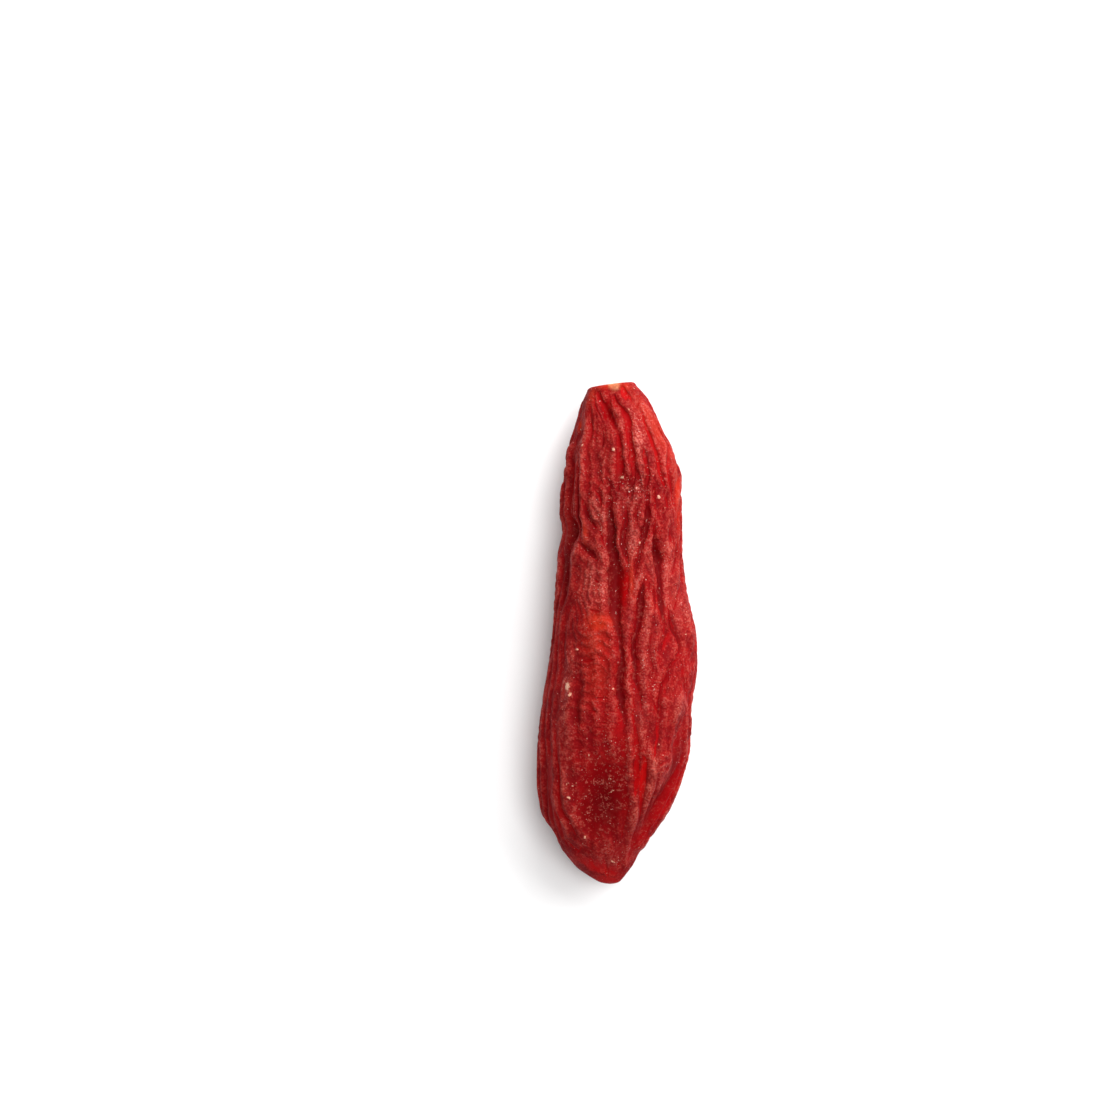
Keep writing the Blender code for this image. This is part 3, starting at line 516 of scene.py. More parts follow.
# How wrinkled each part is: a little on the upper side, and in clouds (spacing, seed) round the back.
# Bare skin is spared, and rough skin has all the ripples
BACK_FROM_DEG = (50.0, 85.0)
BACK_CLOUDS = (2.4, 3)
WRINKLED_BACK = 0.45
WRINKLED_FRONT = 0.26
WRINKLES_SPARE_BARE = 0.9
RIPPLED = 0.45
RIPPLES_SPARE_BARE = 0.85

# The skin is calmer where the berry is thinner than this radius, and towards the stem end, and loses its
# relief where the half width nears nothing at the tip
CALM_RADIUS = 2.2
CALM_STEM = 0.7
CALM_FROM = (9.1, 9.8)
TIP_CALM = 0.9

# The middle of the stem end counts as this share of the section, so that no distance there is nothing
LEAST_SHARE = 0.02

# Drawn strokes and patches wander a little, as grown ones do: spacing, how far, seed
WOBBLES = ((1.3, 0.04, 21), (0.4, 0.02, 31))

# The sheets that wrinkles and clouds grow on: points and millimetres round and along, and the steps
GROWTH_GRID = (320, 400)
GROWTH_SPAN = (17.6, 21.0)
GROWTH_STEPS = 70
GROWTH_RATE = 0.5
GROWTH_DRIVE = 0.45


def smoothstep(low, high, value):
    t = np.clip((value - low) / (high - low), 0.0, 1.0)
    return t * t * (3.0 - 2.0 * t)


def profile(table, column, y):
    """One column of an outline at the places y, as a smooth curve that doesn't overshoot its points."""
    points = np.array(table)
    at, value = points[:, 0], points[:, column]
    width = np.diff(at)
    slope = np.diff(value) / width
    tangent = np.zeros(len(at))
    same_way = slope[:-1] * slope[1:] > 0.0
    before, after = slope[:-1][same_way], slope[1:][same_way]
    tangent[1:-1][same_way] = 2.0 * before * after / (before + after)
    tangent[0], tangent[-1] = slope[0], slope[-1]
    y = np.clip(y, at[0], at[-1])
    k = np.clip(np.searchsorted(at, y, side="right") - 1, 0, len(width) - 1)
    t = (y - at[k]) / width[k]
    start = value[k] * (1.0 + 2.0 * t) * (1.0 - t) ** 2 + tangent[k] * width[k] * t * (1.0 - t) ** 2
    end = value[k + 1] * (3.0 - 2.0 * t) * t**2 - tangent[k + 1] * width[k] * t**2 * (1.0 - t)
    return start + end


class Section:
    """The berry without its wrinkles, cut across at the places y: its middle and its half sizes."""

    def __init__(self, y):
        left, right = profile(OUTLINE, 1, y), profile(OUTLINE, 2, y)
        low, high = profile(SIDE, 1, y), profile(SIDE, 2, y)
        self.middle_x, self.half_x = (left + right) / 2.0, (right - left) / 2.0
        self.middle_z, self.half_z = (low + high) / 2.0, (high - low) / 2.0
        self.radius = (self.half_x + self.half_z) / 2.0

    def angle_of(self, x):
        """Angle round the section of a place on the upper side: 0 on top, 90 degrees at the right."""
        across = np.clip((x - self.middle_x) / self.half_x, -0.97, 0.97)
        return np.sign(across) * np.arcsin(np.abs(across) ** (1.0 / SQUARENESS))


def ring_places(rings):
    """Where the rings stand, evenly spaced over the skin: place along the length, share of the section,
    and place along the skin, which goes on growing from the shoulder to the middle of the stem end.
    """
    tip, shoulder = OUTLINE[0][0], OUTLINE[-1][0]
    along = np.linspace(tip, shoulder, 900)
    turn = np.linspace(0.0, math.pi / 2.0, 60)[1:]
    rim_share = 1.0 - CAP_RIM * (1.0 - np.cos(turn))
    rim_y = shoulder + CAP_RISE * np.sin(turn)
    dish_share = np.linspace(rim_share[-1], 0.0, 60)[1:]
    dish_y = rim_y[-1] - CAP_DISH * smoothstep(rim_share[-1], 0.0, dish_share)
    y = np.concatenate([along, rim_y, dish_y])
    share = np.concatenate([np.ones(len(along)), rim_share, dish_share])
    steps = np.hypot(np.diff(y), np.diff(Section(y).radius * share))
    run = np.concatenate([[0.0], np.cumsum(steps)])
    at = np.linspace(0.0, run[-1], rings)
    past = np.maximum(at - run[len(along) - 1], 0.0)
    ring_y = np.interp(at, run, y)
    return ring_y, np.interp(at, run, share), np.where(past > 0.0, shoulder + past, ring_y)


def smooth_path(points):
    """Points in short steps along a smooth curve through the given ones."""
    points = np.array(points)
    ends = np.vstack([2 * points[0] - points[1], points, 2 * points[-1] - points[-2]])
    pieces = []
    for a, b, c, d in zip(ends[:-3], ends[1:-2], ends[2:-1], ends[3:]):
        count = max(2, math.ceil(np.linalg.norm(c[:2] - b[:2]) / STROKE_STEP))
        t = np.linspace(0.0, 1.0, count, endpoint=False)[:, None]
        bend = (2 * a - 5 * b + 4 * c - d) * t**2 + (3 * b - a - 3 * c + d) * t**3
        pieces.append(b + ((c - a) * t + bend) / 2.0)
    return np.vstack(pieces + [points[-1:]])


def seen_strokes(strokes):
    """Strokes of the upper side: steepness, and the path as angle, place along, and half width."""
    for steepness, points in strokes:
        x, y, half_width = smooth_path(points).T
        yield steepness, (Section(y).angle_of(x), y, half_width)


def hidden_strokes():
    """Lengthwise creases of the flanks and the underside, in the same form as the seen ones."""
    draw = np.random.default_rng(HIDDEN_SEED)
    for lane in np.linspace(HIDDEN_FROM_DEG, HIDDEN_TO_DEG, HIDDEN_LANES):
        start = HIDDEN_ENDS[1] - draw.uniform(0.0, 1.5)
        while start > HIDDEN_ENDS[0] + 1.0:
            end = max(start - draw.uniform(*HIDDEN_RUN), HIDDEN_ENDS[0])
            y = np.linspace(start, end, 6)
            sway = draw.uniform(-HIDDEN_SWAY_DEG, HIDDEN_SWAY_DEG, len(y))
            half_width = draw.uniform(*HIDDEN_WIDTH, len(y))
            half_width[[0, -1]] *= HIDDEN_TAPER
            path = np.column_stack([np.radians(lane + sway), y, half_width])
            yield HIDDEN_STEEPNESS, smooth_path(path).T
            start = end - HIDDEN_GAP * draw.uniform(-1.0, 1.0)


def turned(angle):
    """An angle brought between minus and plus half a turn."""
    return (angle + math.pi) % (2.0 * math.pi) - math.pi


def stroke(angle, y, radius, path, shape):
    """A stroke of steepness 1 at each skin point: its height, and how much the point belongs to it."""
    path_angle, path_y, path_width = path
    size, share = np.zeros(angle.shape), np.zeros(angle.shape)
    reach = STROKE_REACH * path_width.max()
    middle = path_angle.mean()
    spread = np.abs(path_angle - middle).max()
    near = np.flatnonzero((y > path_y.min() - reach) & (y < path_y.max() + reach)
                          & ((np.abs(turned(angle - middle)) - spread) * radius < reach))
    if not len(near):
        return size, share
    u = (turned(angle[near, None] - middle) + middle - path_angle) * radius[near, None]
    v = y[near, None] - path_y
    run_u, run_v = u[:, :-1] - u[:, 1:], v[:, :-1] - v[:, 1:]
    t = (u[:, :-1] * run_u + v[:, :-1] * run_v) / (run_u**2 + run_v**2)
    t = np.clip(t, 0.0, 1.0)
    distance = np.hypot(u[:, :-1] - t * run_u, v[:, :-1] - t * run_v)
    half_width = path_width[:-1] + t * np.diff(path_width)
    near_share = np.exp(-((distance / half_width) ** shape))
    size[near] = (half_width * near_share).max(axis=1)
    share[near] = (near_share * smoothstep(*STROKE_SHOWS, half_width)).max(axis=1)
    return size, share


def combined(angle, y, radius, strokes, shape):
    """All the strokes together: those that meet run into one another, and don't add up."""
    total, total_share = np.zeros(angle.shape), np.zeros(angle.shape)
    for steepness, path in strokes:
        size, share = stroke(angle, y, radius, path, shape)
        total += (steepness * size) ** 3
        total_share = np.maximum(total_share, share * smoothstep(*STEEP_SHOWS, steepness))
    return total ** (1.0 / 3.0), total_share


def blob(angle, y, radius, at_x, at_y, half_width, half_length, strength, turn=0.0):
    """A soft round or long patch of the upper side: its strength in its middle, and nothing far off."""
    across, along = turned(angle - Section(at_y).angle_of(at_x)) * radius, y - at_y
    c, s = math.cos(math.radians(turn)), math.sin(math.radians(turn))
    u, v = across * c + along * s, along * c - across * s
    return strength * np.exp(-((u / half_width) ** 2) - (v / half_length) ** 2)


def patches(angle, y, radius, rows):
    """The strongest of several patches at each skin point."""
    total = np.zeros(angle.shape)
    for row in rows:
        total = np.maximum(total, blob(angle, y, radius, *row))
    return total


def sheet_waves():
    """Waves in each millimetre of a sheet's Fourier terms, round the berry and along it."""
    columns, rows = GROWTH_GRID
    return (np.fft.fftfreq(columns, GROWTH_SPAN[0] / columns)[:, None],
            np.fft.fftfreq(rows, GROWTH_SPAN[1] / rows)[None, :])


def grown_wrinkles(led, pull, spacing, stretch, seed):
    """A sheet of folds, from -1 to 1, that a shrinking skin buckles into, led by the drawn creases."""
    across, along = sheet_waves()
    size = np.hypot(across, along * stretch) * spacing
    resistance = GROWTH_DRIVE - (1.0 - size**2) ** 2
    sheet = np.random.default_rng(seed).normal(0.0, 0.2, GROWTH_GRID)
    for _ in range(GROWTH_STEPS):
        push = np.fft.fft2(led * pull - sheet**3)
        grown = (np.fft.fft2(sheet) + GROWTH_RATE * push) / (1.0 - GROWTH_RATE * resistance)
        sheet = np.fft.ifft2(grown).real
    return sheet / np.abs(sheet).max()


def cloudy(spacing, seed):
    """A smooth random sheet from 0 to 1, whose clouds are about spacing apart."""
    across, along = sheet_waves()
    noise = np.fft.fft2(np.random.default_rng(seed).normal(0.0, 1.0, GROWTH_GRID))
    sheet = np.fft.ifft2(noise * np.exp(-((np.hypot(across, along) * spacing) ** 2))).real
    return smoothstep(-1.6, 1.6, sheet / sheet.std())


def growth_places():
    """Angle and place along the length of each point of a sheet."""
    columns, rows = GROWTH_GRID
    angle = np.arange(columns) * 2.0 * math.pi / columns
    y = (np.arange(rows) / rows - 0.5) * GROWTH_SPAN[1]
    return (grid.ravel() for grid in np.meshgrid(angle, y, indexing="ij"))


def sheet_at(sheet, angle, y):
    """A sheet's value at skin points."""
    columns, rows = GROWTH_GRID
    u = (angle / (2.0 * math.pi) % 1.0) * columns
    v = (y / GROWTH_SPAN[1] + 0.5) * rows
    i, j = np.floor(u).astype(int), np.floor(v).astype(int)
    s, t = u - i, v - j
    i0, i1, j0, j1 = i % columns, (i + 1) % columns, j % rows, (j + 1) % rows
    low = sheet[i0, j0] * (1.0 - s) + sheet[i1, j0] * s
    high = sheet[i0, j1] * (1.0 - s) + sheet[i1, j1] * s
    return low * (1.0 - t) + high * t


class Skin:
    """Height and finish of the skin at an angle, a place along the skin and a share of the section."""

    def __init__(self, angle, y, share, form):
        section = Section(y)
        radius = section.radius
        for spacing, sway, seed in WOBBLES:
            angle = angle + (sheet_at(cloudy(spacing, seed), angle, y) - 0.5) * 2.0 * sway / radius
            y = y + (sheet_at(cloudy(spacing, seed + 1), angle, y) - 0.5) * 2.0 * sway
        point = (angle, y, radius * np.maximum(share, LEAST_SHARE))
        back = smoothstep(*np.radians(BACK_FROM_DEG), np.abs(turned(angle)))

        creases = list(seen_strokes(CREASES + FINE_CREASES)) + list(hidden_strokes())
        crease_depth, furrow = combined(*point, creases, CREASE_SHAPE)
        fold_height, crest = combined(*point, seen_strokes(FOLDS + FINE_FOLDS), FOLD_SHAPE)
        self.finish = {"furrow": furrow, "crest": crest}
        for name, rows in PATCHES.items():
            self.finish[name] = patches(*point, rows)
        # Painted shade: creases darken with their depth along the middle of the berry and round its back
        shaded = smoothstep(*CREASE_SHADE_FROM, y) * smoothstep(*CREASE_SHADE_TO, y)
        deep_red_and_shade = smoothstep(*CREASE_SHADE_DEPTHS, crease_depth) * np.maximum(shaded, back * CREASE_SHADE_BACK)
        self.finish["dark_and_shade"] = np.maximum(self.finish["dark_and_shade"], deep_red_and_shade)
        self.finish["flecked"] = np.maximum(self.finish["flecked"], LEAST_FLECKED)
        bare, rough = self.finish["bare"], self.finish["rough"]

        sheet_angle, sheet_y = growth_places()
        led, _ = combined(sheet_angle, sheet_y, Section(sheet_y).radius, creases, CREASE_SHAPE)
        led = led.reshape(GROWTH_GRID)
        wrinkles = sheet_at(grown_wrinkles(led, *WRINKLES), angle, y)
        ripples = sheet_at(grown_wrinkles(led, *RIPPLES), angle, y)
        front_share = WRINKLED_FRONT * (1.0 - WRINKLES_SPARE_BARE * bare)
        back_share = WRINKLED_BACK + (1.0 - WRINKLED_BACK) * sheet_at(cloudy(*BACK_CLOUDS), angle, y)
        calm = np.minimum(radius / CALM_RADIUS, 1.0) * (1.0 - CALM_STEM * smoothstep(*CALM_FROM, y))
        wrinkles *= (front_share + (back_share - front_share) * back) * calm
        ripples *= (RIPPLED + (1.0 - RIPPLED) * rough) * (1.0 - RIPPLES_SPARE_BARE * bare) * calm

        height = np.zeros(angle.shape)
        for row in BROAD_FORMS:
            height += blob(*point, *row)
        height += fold_height * form.fold_height - crease_depth * form.crease_depth
        height -= np.maximum(wrinkles, WRINKLE_FLOOR) * form.wrinkle_height / MM
        height += ripples * form.ripple_height / MM
        height += self.finish["flakes"] * form.flake_height / MM
        self.height = height * np.minimum(share, smoothstep(0.0, TIP_CALM, section.half_x))


def skin_points(angle, y, share, height):
    """Points of the skin at an angle, a place along the length and a share of the section."""
    section = Section(y)
    sine, cosine = np.sin(angle), np.cos(angle)
    x = section.middle_x + section.half_x * share * np.sign(sine) * np.abs(sine) ** SQUARENESS
    z = section.middle_z + section.half_z * share * np.sign(cosine) * np.abs(cosine) ** SQUARENESS
    height = height * smoothstep(PRESSED_HEIGHT, WRINKLED_HEIGHT, z)
    out_x, out_z = sine / section.half_x, cosine / section.half_z
    norm = np.hypot(out_x, out_z)
    x = x + height * out_x / norm
    z = z + height * out_z / norm
    stem_end = OUTLINE[-1][0] + CAP_RISE
    y = y + CAP_SLANT * x * smoothstep(CAP_SLANT_REACH, 0.0, stem_end - y)
    return np.column_stack([x, y, np.maximum(z, 0.0)])


def blurred(grid, rows, columns):
    """A grid of rings and columns, each point the mean of those so many rows and columns round it."""
    for _ in range(2):
        padded = np.pad(grid, ((rows, rows), (0, 0)), mode="edge")
        run = np.cumsum(np.vstack([np.zeros(grid.shape[1]), padded]), axis=0)
        grid = (run[2 * rows + 1:] - run[:-2 * rows - 1]) / (2 * rows + 1)
        padded = np.pad(grid, ((0, 0), (columns, columns)), mode="wrap")
        run = np.cumsum(np.hstack([np.zeros((grid.shape[0], 1)), padded]), axis=1)
        grid = (run[:, 2 * columns + 1:] - run[:, :-2 * columns - 1]) / (2 * columns + 1)
    return grid


def skin_grid(form):
    """The skin's points and finish in whole rings, so that a point can be set against its neighbours."""
    ring_y, ring_share, ring_run = ring_places(form.rings + 1)
    shape = (form.rings + 1, form.columns)
    ring, column = (grid.ravel() for grid in np.indices(shape))
    angle = column * 2.0 * math.pi / form.columns
    skin = Skin(angle, ring_run[ring], ring_share[ring], form)
    points = skin_points(angle, ring_y[ring], ring_share[ring], skin.height).reshape(*shape, 3)

    height = skin.height.reshape(shape)
    dent = blurred(height, *DENT_REACH) - height
    hollow = blurred(height, *HOLLOW_REACH) - height
    finish = {name: values.reshape(shape) for name, values in skin.finish.items()}
    finish["dent"] = smoothstep(*DENT_DEPTHS, dent)
    finish["furrow"] = np.maximum(finish["furrow"], HOLLOW_SMOOTH * smoothstep(*HOLLOW_DEPTHS, hollow))
    # Ridges get dust and a painted sheen
    finish["dust_and_sheen"] = np.maximum(finish["dust_and_sheen"], RIDGE_DUST_AND_SHEEN * smoothstep(*RIDGE_HEIGHTS, -hollow))
    off = (((points - SCAR_AT) / SCAR_RADIUS) ** 2).sum(axis=2)
    finish["scar"] = np.minimum(SCAR_STRENGTH * np.exp(-off), 1.0)
    return points, finish


class Socket:
    """A shader value: arithmetic on it adds the Math nodes."""

    def __init__(self, tree, output):
        self.tree, self.output = tree, output

    def math(self, operation, *others):
        node = self.tree.nodes.new("ShaderNodeMath")
        node.operation = operation
        for slot, value in zip(node.inputs, (self, *others)):
            plug(self.tree, slot, value)
        return Socket(self.tree, node.outputs[0])

    def __add__(self, other):
        return self.math("ADD", other)

    __radd__ = __add__

    def __mul__(self, other):
        return self.math("MULTIPLY", other)

    __rmul__ = __mul__

    def __sub__(self, other):
        return self.math("SUBTRACT", other)

    def __rsub__(self, other):
        return (self * -1.0) + other

    def clamped(self):
        return self.math("MAXIMUM", 0.0).math("MINIMUM", 1.0)


def plug(tree, slot, value):
    """Links a value to a node's input, or sets the input to it."""
    if isinstance(value, Socket):
        tree.links.new(value.output, slot)
    else:
        slot.default_value = value


class Shader:
    """Adds nodes to a material's tree."""

    def __init__(self, name):
        self.material = bpy.data.materials.new(name)
        self.material.use_nodes = True
        self.tree = self.material.node_tree
        self.principled = self.tree.nodes["Principled BSDF"]

    def node(self, kind, settings=None, slots=None, output=0, **values):
        """A new node: its settings first, then its inputs, by number or by name with _ for spaces."""
        node = self.tree.nodes.new(kind)
        for name, value in (settings or {}).items():
            setattr(node, name, value)
        for slot, value in (slots or {}).items():
            plug(self.tree, node.inputs[slot], value)
        for name, value in values.items():
            plug(self.tree, node.inputs[name.replace("_", " ")], value)
        return Socket(self.tree, node.outputs[output])

    def step(self, value, low, high):
        """0 below low, 1 above high and smooth in between."""
        return self.node("ShaderNodeMapRange", {"interpolation_type": "SMOOTHSTEP"}, Value=value,
                         From_Min=low, From_Max=high)

    def mix(self, factor, a, b):
        """Colour a where the factor is 0, and colour b where it is 1."""
        a, b = (value if isinstance(value, Socket) else (*value, 1.0) for value in (a, b))
        return self.node("ShaderNodeMix", {"data_type": "RGBA"}, {0: factor, 6: a, 7: b}, output=2)

    def attribute(self, name):
        return self.node("ShaderNodeAttribute", {"attribute_name": name}, output="Fac")

    def set(self, **values):
        for name, value in values.items():
            plug(self.tree, self.principled.inputs[name.replace("_", " ")], value)


def skin_material(look):
    """Dry skin: smooth deep red in the creases, darkened with painted shade, dull and dusted with pale
    grains and a painted sheen where it is open, with painted glints, and a painted glow where the skin
    is thin.
    """
    s = Shader("dried_skin")
    place = s.node("ShaderNodeTexCoord", output="Object")
    furrow, dent, crest, rough = (s.attribute(name) for name in ("furrow", "dent", "crest", "rough"))
    bare, flesh_and_glow, dark_and_shade, dust_and_sheen = (s.attribute(name) for name in ("bare", "flesh_and_glow", "dark_and_shade", "dust_and_sheen"))
    flakes, scar, flecked, thin_glow = (s.attribute(name) for name in ("flakes", "scar", "flecked", "thin_glow"))

    size = look.grain_size
    grain = s.node("ShaderNodeTexNoise", Vector=place, Scale=1.0 / size, Detail=3.0, Roughness=0.65)
    crumbs = s.node("ShaderNodeTexVoronoi", Vector=place, Scale=1.1 / size, Randomness=1.0)
    glints = s.node("ShaderNodeTexNoise", Vector=place, Scale=1.2 / size, Detail=1.0)
    lumps = s.node("ShaderNodeTexNoise", Vector=place, Scale=0.40 / size, Detail=3.0, Roughness=0.5)
    blotch = s.node("ShaderNodeTexNoise", Vector=place, Scale=0.12 / size, Detail=4.0)
    fleck_pick = s.node("ShaderNodeTexVoronoi", Vector=place, Scale=0.5 / size, output="Color")

    # Creases and bare skin end in a ragged line, and dust with a painted sheen lies on the high spots of
    # what is left
    ragged = (grain - 0.5) * 0.5 + (lumps - 0.5) * 0.5
    smooth = furrow.math("MAXIMUM", bare * 0.95) + dent * 0.15 - crest * 0.15 + ragged
    smooth_skin = s.step(smooth, *SMOOTH_EDGE)
    open_skin = 1.0 - smooth_skin
    high = grain * 0.35 + lumps * 0.35 + (1.0 - crumbs) * 0.3 - dent * 0.12
    sugar = s.step(high, *SUGAR_EDGE)
    cloud = s.step(blotch, *CLOUD_EDGE)
    # Dust, which also carries a painted sheen, thinner in small dents, which paints shade into them
    film = (sugar * (0.20 + dust_and_sheen * 0.46) + dust_and_sheen * 0.16) * (1.0 - dent * 0.3) * open_skin
    film = film * (0.50 + cloud * 0.75) * (1.0 - flesh_and_glow * 0.4)

    # Smooth skin is only hazed, and flecks, painted glints and flakes lie on both
    haze = s.step(blotch * 0.6 + lumps * 0.4, *HAZE_EDGE) * smooth_skin * flecked * 0.06
    fleck = s.step(grain * 0.55 + lumps * 0.30 + fleck_pick * 0.15, *FLECK_EDGE) * flecked
    painted_glint = s.step(glints + cloud * flecked * 0.08 + rough * 0.02, *GLINT_EDGE)
    flake = s.step(flakes + (grain - 0.5) * 0.9, *FLAKE_EDGE)
    scarred = s.step(scar + ragged * 0.7, *SCAR_EDGE) * (0.45 + s.step(lumps, *SCAR_MOTTLE) * 0.40)

    # Colours from the skin outwards, with painted shade, painted glow, painted sheen and painted glints
    # among them
    pale = s.step(blotch * 0.6 + high * 0.4, *PALE_EDGE) * (1.0 - dark_and_shade * 0.6)
    skin = s.mix(pale, look.skin_dark, look.skin)
    # Smooth skin: deep red where it is thick and dark and where shade is painted, bright red where a
    # glow is painted
    skin = s.mix(smooth_skin, skin, s.mix(thin_glow, s.mix(dark_and_shade, look.bare, look.deep_red_and_shade), look.thin_glow))
    # Orange flesh, and a painted glow through the rims and a painted pool of light on the upper right
    # flank
    skin = s.mix(flesh_and_glow * (0.4 + open_skin * 0.6), skin, look.flesh)
    # Pale dust with a painted sheen
    skin = s.mix((film + haze).math("MAXIMUM", fleck * 0.6), skin, look.bloom_and_sheen)
    # Painted glints
    skin = s.mix(painted_glint * 0.7, skin, look.painted_glint)
    skin = s.mix(flake * 0.9, skin, look.flake)
    skin = s.mix(scarred, skin, look.scar)

    # Open skin is grainy to the touch, and rough patches the more so
    lumpy = high.math("MAXIMUM", 0.34) + (lumps - 0.5) * 0.4
    relief = lumpy * (0.2 + open_skin * (0.35 + rough * 0.45)) + film * 0.12 + fleck * 0.20
    normal = s.node("ShaderNodeBump", Strength=1.0, Distance=size, Height=relief)
    s.set(Base_Color=skin, Roughness=0.50 + open_skin * 0.10, Normal=normal, IOR=1.45,
          Specular_IOR_Level=0.04, Coat_Weight=(painted_glint + film * 0.35).clamped(), Coat_Roughness=0.22,
          Subsurface_Weight=0.25, Subsurface_Radius=GLOW_COLOURS, Subsurface_Scale=look.glow_depth)
    return s.material


def floor_material(stage):
    """A matt surface that is very faintly mottled."""
    s = Shader("pale_surface")
    place = s.node("ShaderNodeTexCoord", output="Object")
    mottle = s.node("ShaderNodeTexNoise", Vector=place, Scale=60.0, Detail=3.0)
    s.set(Base_Color=s.mix(s.step(mottle, 0.3, 0.7), stage.floor_shade, stage.floor), Roughness=0.6)
    return s.material


def make_berry(form, look):
    """A sphere whose rings and columns are moved on to the berry's skin, and carry its finish."""
    bpy.ops.object.select_all(action="DESELECT")
    bpy.ops.mesh.primitive_uv_sphere_add(segments=form.columns, ring_count=form.rings, radius=1.0)
    berry = bpy.context.object
    berry.name = berry.data.name = "goji_berry_skin"
    mesh = berry.data

    # The ring and the column that each corner of the sphere stands in, counted from the lower pole
    places = np.empty(len(mesh.vertices) * 3)
    mesh.vertices.foreach_get("co", places)
    x, y, z = places.reshape(-1, 3).T
    ring = (1.0 - np.arccos(np.clip(z, -1.0, 1.0)) / math.pi) * form.rings
    column = np.arctan2(y, x) / (2.0 * math.pi) * form.columns
    at = (np.rint(ring).astype(int), np.rint(column).astype(int) % form.columns)

    points, finish = skin_grid(form)
    mesh.vertices.foreach_set("co", (points[at] * MM).ravel())
    for name, values in finish.items():
        layer = mesh.attributes.new(name, "FLOAT", "POINT")
        layer.data.foreach_set("value", values[at].astype(np.float32))
    mesh.update()
    bpy.ops.object.shade_smooth()
    mesh.materials.clear()
    mesh.materials.append(skin_material(look))
    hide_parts("goji_berry")
    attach(berry, "root")


def make_stage(stage):
    """The pale surface, the soft lights, the white room and the camera that looks straight down."""
    bpy.ops.object.select_all(action="DESELECT")
    bpy.ops.mesh.primitive_circle_add(vertices=96, radius=stage.floor_radius, fill_type="NGON")
    floor = bpy.context.object
    floor.name = floor.data.name = "pale_surface"
    floor.data.materials.append(floor_material(stage))

    add_light("key_light", stage.key_from, stage.key_distance, stage.key_size, stage.key_power)
    add_light("fill_light", stage.fill_from, stage.fill_distance, stage.fill_size, stage.fill_power)

    world = bpy.data.worlds.new("white_room")
    bpy.context.scene.world = world
    world.use_nodes = True
    background = world.node_tree.nodes["Background"]
    background.inputs["Color"].default_value = (1.0, 1.0, 1.0, 1.0)
    background.inputs["Strength"].default_value = stage.room_light

    camera_data = bpy.data.cameras.new("camera_above")
    camera_data.lens = stage.lens
    camera_data.sensor_width = SENSOR_WIDTH
    camera_data.clip_start, camera_data.clip_end = CAMERA_SEES
    camera = bpy.data.objects.new("camera_above", camera_data)
    bpy.context.scene.collection.objects.link(camera)
    distance = stage.view_width * stage.lens / SENSOR_WIDTH
    camera.location = (*stage.view_centre, stage.view_height + distance)
    bpy.context.scene.camera = camera
    bpy.context.scene.view_settings.view_transform = "Standard"


def add_light(name, direction, distance, size, power):
    """A soft square light that faces the berry from that direction."""
    direction = Vector(direction).normalized()
    bpy.ops.object.light_add(type="AREA", location=direction * distance)
    light = bpy.context.object
    light.name = light.data.name = name
    light.rotation_euler = direction.to_track_quat("Z", "Y").to_euler()
    light.data.size = size
    light.data.energy = power
    light.visible_camera = False


def tone(name, description, *rgb):
    """A colour that a user can change."""
    return FloatVectorProperty(name=name, description=description, subtype="COLOR", default=rgb)


def length(name, description, default):
    """A length that a user can change."""
    return FloatProperty(name=name, description=description, default=default, unit="LENGTH")


class GOJI_PG_form(bpy.types.PropertyGroup):
    """Sizes of the berry's skin."""

    rings: IntProperty(name="Rings", description="Rings of faces along the berry", default=340, min=16)
    columns: IntProperty(name="Columns", description="Faces in each ring", default=280, min=16)
    crease_depth: FloatProperty(name="Crease depth", description="Share of the depth in the tables",
                                default=0.65, min=0.0)
    fold_height: FloatProperty(name="Fold height", description="Share of the height in the tables",
                               default=0.5, min=0.0)
    wrinkle_height: length("Wrinkle height", "Height of the grown wrinkles", 0.14 * MM)
    ripple_height: length("Ripple height", "Height of the fine ripples", 0.045 * MM)
    flake_height: length("Flake height", "How far the pale flakes stand up", 0.04 * MM)


class GOJI_PG_look(bpy.types.PropertyGroup):
    """Colours and grain of the berry's skin, some of them painted shade, glow, sheen and glints."""

    skin: tone("Skin", "Open skin", 0.29, 0.0045, 0.005)
    skin_dark: tone("Dark skin", "Darker blotches of the open skin", 0.18, 0.0022, 0.004)
    # Colour of a painted glow of light through thin skin
    thin_glow: tone("Thin skin", "Smooth skin where it is thin and bright", 0.52, 0.003, 0.003)
    bare: tone("Bare skin", "Smooth skin in the creases", 0.30, 0.0015, 0.003)
    # Also painted shade in creases and on flanks that face away from the light
    deep_red_and_shade: tone("Deep red", "Smooth skin where it is thick and dark", 0.13, 0.0008, 0.002)
    # Also a painted sheen on the dust
    bloom_and_sheen: tone("Bloom", "Dusty grains on the folds", 0.58, 0.130, 0.096)
    # Painted glints
    painted_glint: tone("Speck", "Tiny pale specks", 0.66, 0.32, 0.26)
    # Also the colour of a painted glow and a painted pool of light
    flesh: tone("Flesh", "Orange flesh under thin skin", 0.46, 0.022, 0.008)
    flake: tone("Flake", "Flakes of dried sap", 0.74, 0.38, 0.26)
    scar: tone("Scar", "Scar of the stalk", 0.74, 0.33, 0.15)
    grain_size: length("Grain size", "Size of the grains of dust", 0.09 * MM)
    glow_depth: length("Glow depth", "How far red light travels in the flesh", 0.25 * MM)


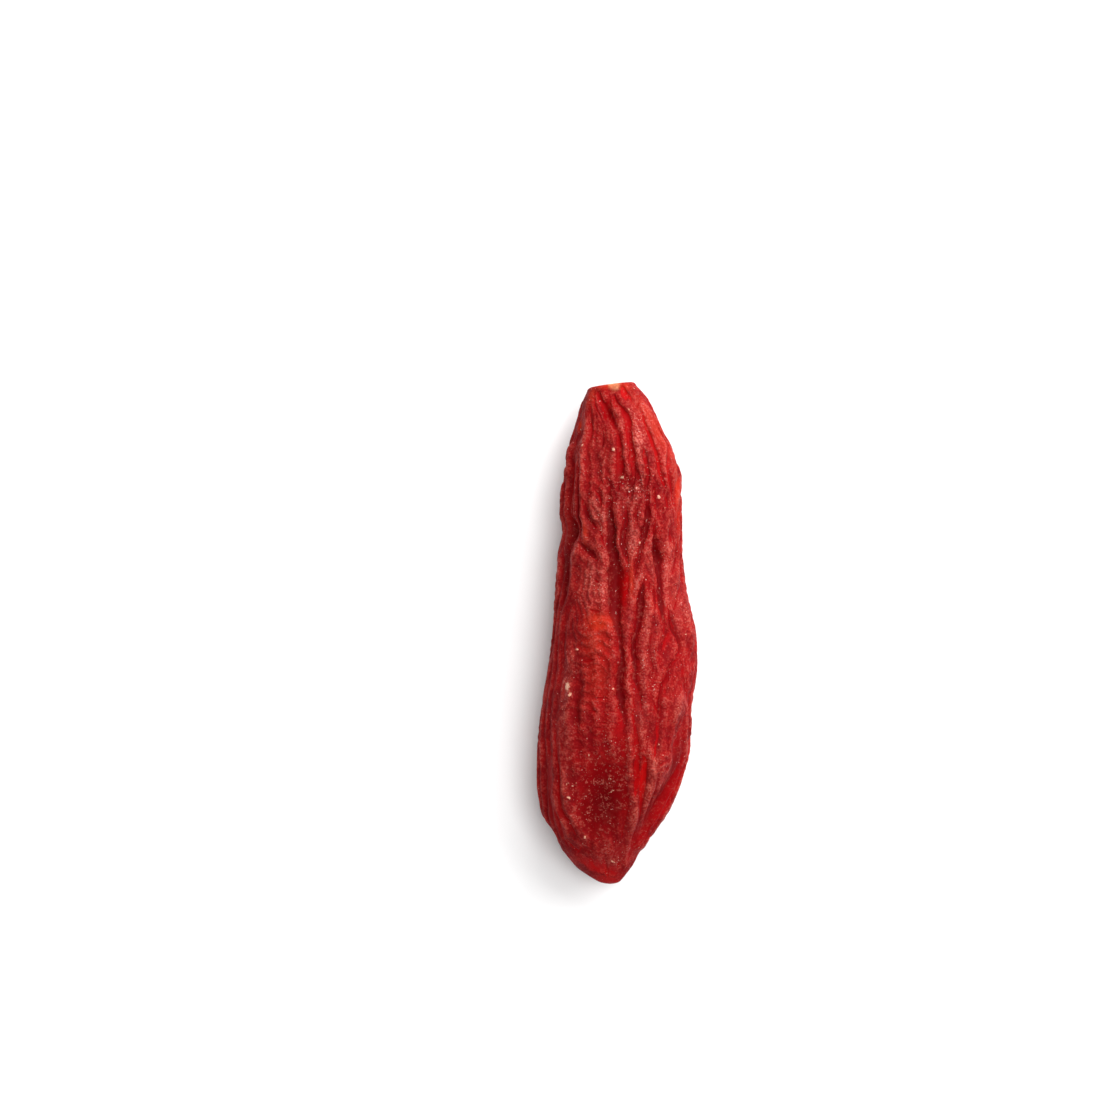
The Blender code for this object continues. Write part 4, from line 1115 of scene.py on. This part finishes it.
class GOJI_PG_stage(bpy.types.PropertyGroup):
    """The surface, the lights and the camera."""

    floor: tone("Surface", "Colour of the surface", 0.93, 0.93, 0.93)
    floor_shade: tone("Surface shade", "Faint mottle of the surface", 0.91, 0.91, 0.91)
    floor_radius: length("Surface radius", "Radius of the round surface", 2.0)
    key_from: FloatVectorProperty(name="Key from", description="Direction of the main light",
                                  subtype="DIRECTION", default=(0.50, 0.72, 0.48))
    key_distance: length("Key distance", "Distance of the main light", 0.30)
    key_size: length("Key size", "Side of the main light", 0.36)
    key_power: FloatProperty(name="Key power", description="Power of the main light in watts",
                             default=1.9)
    fill_from: FloatVectorProperty(name="Fill from", description="Direction of the fill light",
                                   subtype="DIRECTION", default=(0.15, 0.05, 1.0))
    fill_distance: length("Fill distance", "Distance of the fill light", 0.50)
    fill_size: length("Fill size", "Side of the fill light", 0.30)
    fill_power: FloatProperty(name="Fill power", description="Power of the fill light in watts",
                              default=1.6)
    room_light: FloatProperty(name="Room light", description="Brightness of the room", default=0.25)
    lens: FloatProperty(name="Lens", description="Focal length in millimetres", default=100.0)
    view_width: length("View width", "Width of the view at the berry", 44.0 * MM)
    view_height: length("View height", "Height above the surface that the width is for", 2.45 * MM)
    view_centre: FloatVectorProperty(name="View centre", description="Point that the camera is above",
                                     size=2, unit="LENGTH", default=(-2.68 * MM, 3.30 * MM))


class GOJI_OT_berry(bpy.types.Operator):
    """Add the dried berry"""

    bl_idname = "goji.berry"
    bl_label = "Dried berry"

    def execute(self, context):
        make_berry(context.scene.goji_form, context.scene.goji_look)
        return {"FINISHED"}


class GOJI_OT_stage(bpy.types.Operator):
    """Add the pale surface, the lights and the camera"""

    bl_idname = "goji.stage"
    bl_label = "Stage"

    def execute(self, context):
        make_stage(context.scene.goji_stage)
        return {"FINISHED"}


class GOJI_PT_panel(bpy.types.Panel):
    """Lists the berry and its stage"""

    bl_label = "Dried goji berry"
    bl_idname = "GOJI_PT_panel"
    bl_space_type = "VIEW_3D"
    bl_region_type = "UI"
    bl_category = "Goji"

    def draw(self, context):
        for operator, group in (("goji.berry", "goji_form"), ("goji.berry", "goji_look"),
                                ("goji.stage", "goji_stage")):
            box = self.layout.box()
            box.operator(operator)
            settings = getattr(context.scene, group)
            for name in settings.__annotations__:
                box.prop(settings, name)


CLASSES = (GOJI_PG_form, GOJI_PG_look, GOJI_PG_stage, GOJI_OT_berry, GOJI_OT_stage, GOJI_PT_panel)


def register():
    for cls in CLASSES:
        bpy.utils.register_class(cls)
    bpy.types.Scene.goji_form = PointerProperty(type=GOJI_PG_form)
    bpy.types.Scene.goji_look = PointerProperty(type=GOJI_PG_look)
    bpy.types.Scene.goji_stage = PointerProperty(type=GOJI_PG_stage)


def unregister():
    del bpy.types.Scene.goji_form, bpy.types.Scene.goji_look, bpy.types.Scene.goji_stage
    for cls in reversed(CLASSES):
        bpy.utils.unregister_class(cls)


def main():
    register()
    bpy.ops.goji.stage()
    bpy.ops.goji.berry()


if __name__ == "__main__":
    main()
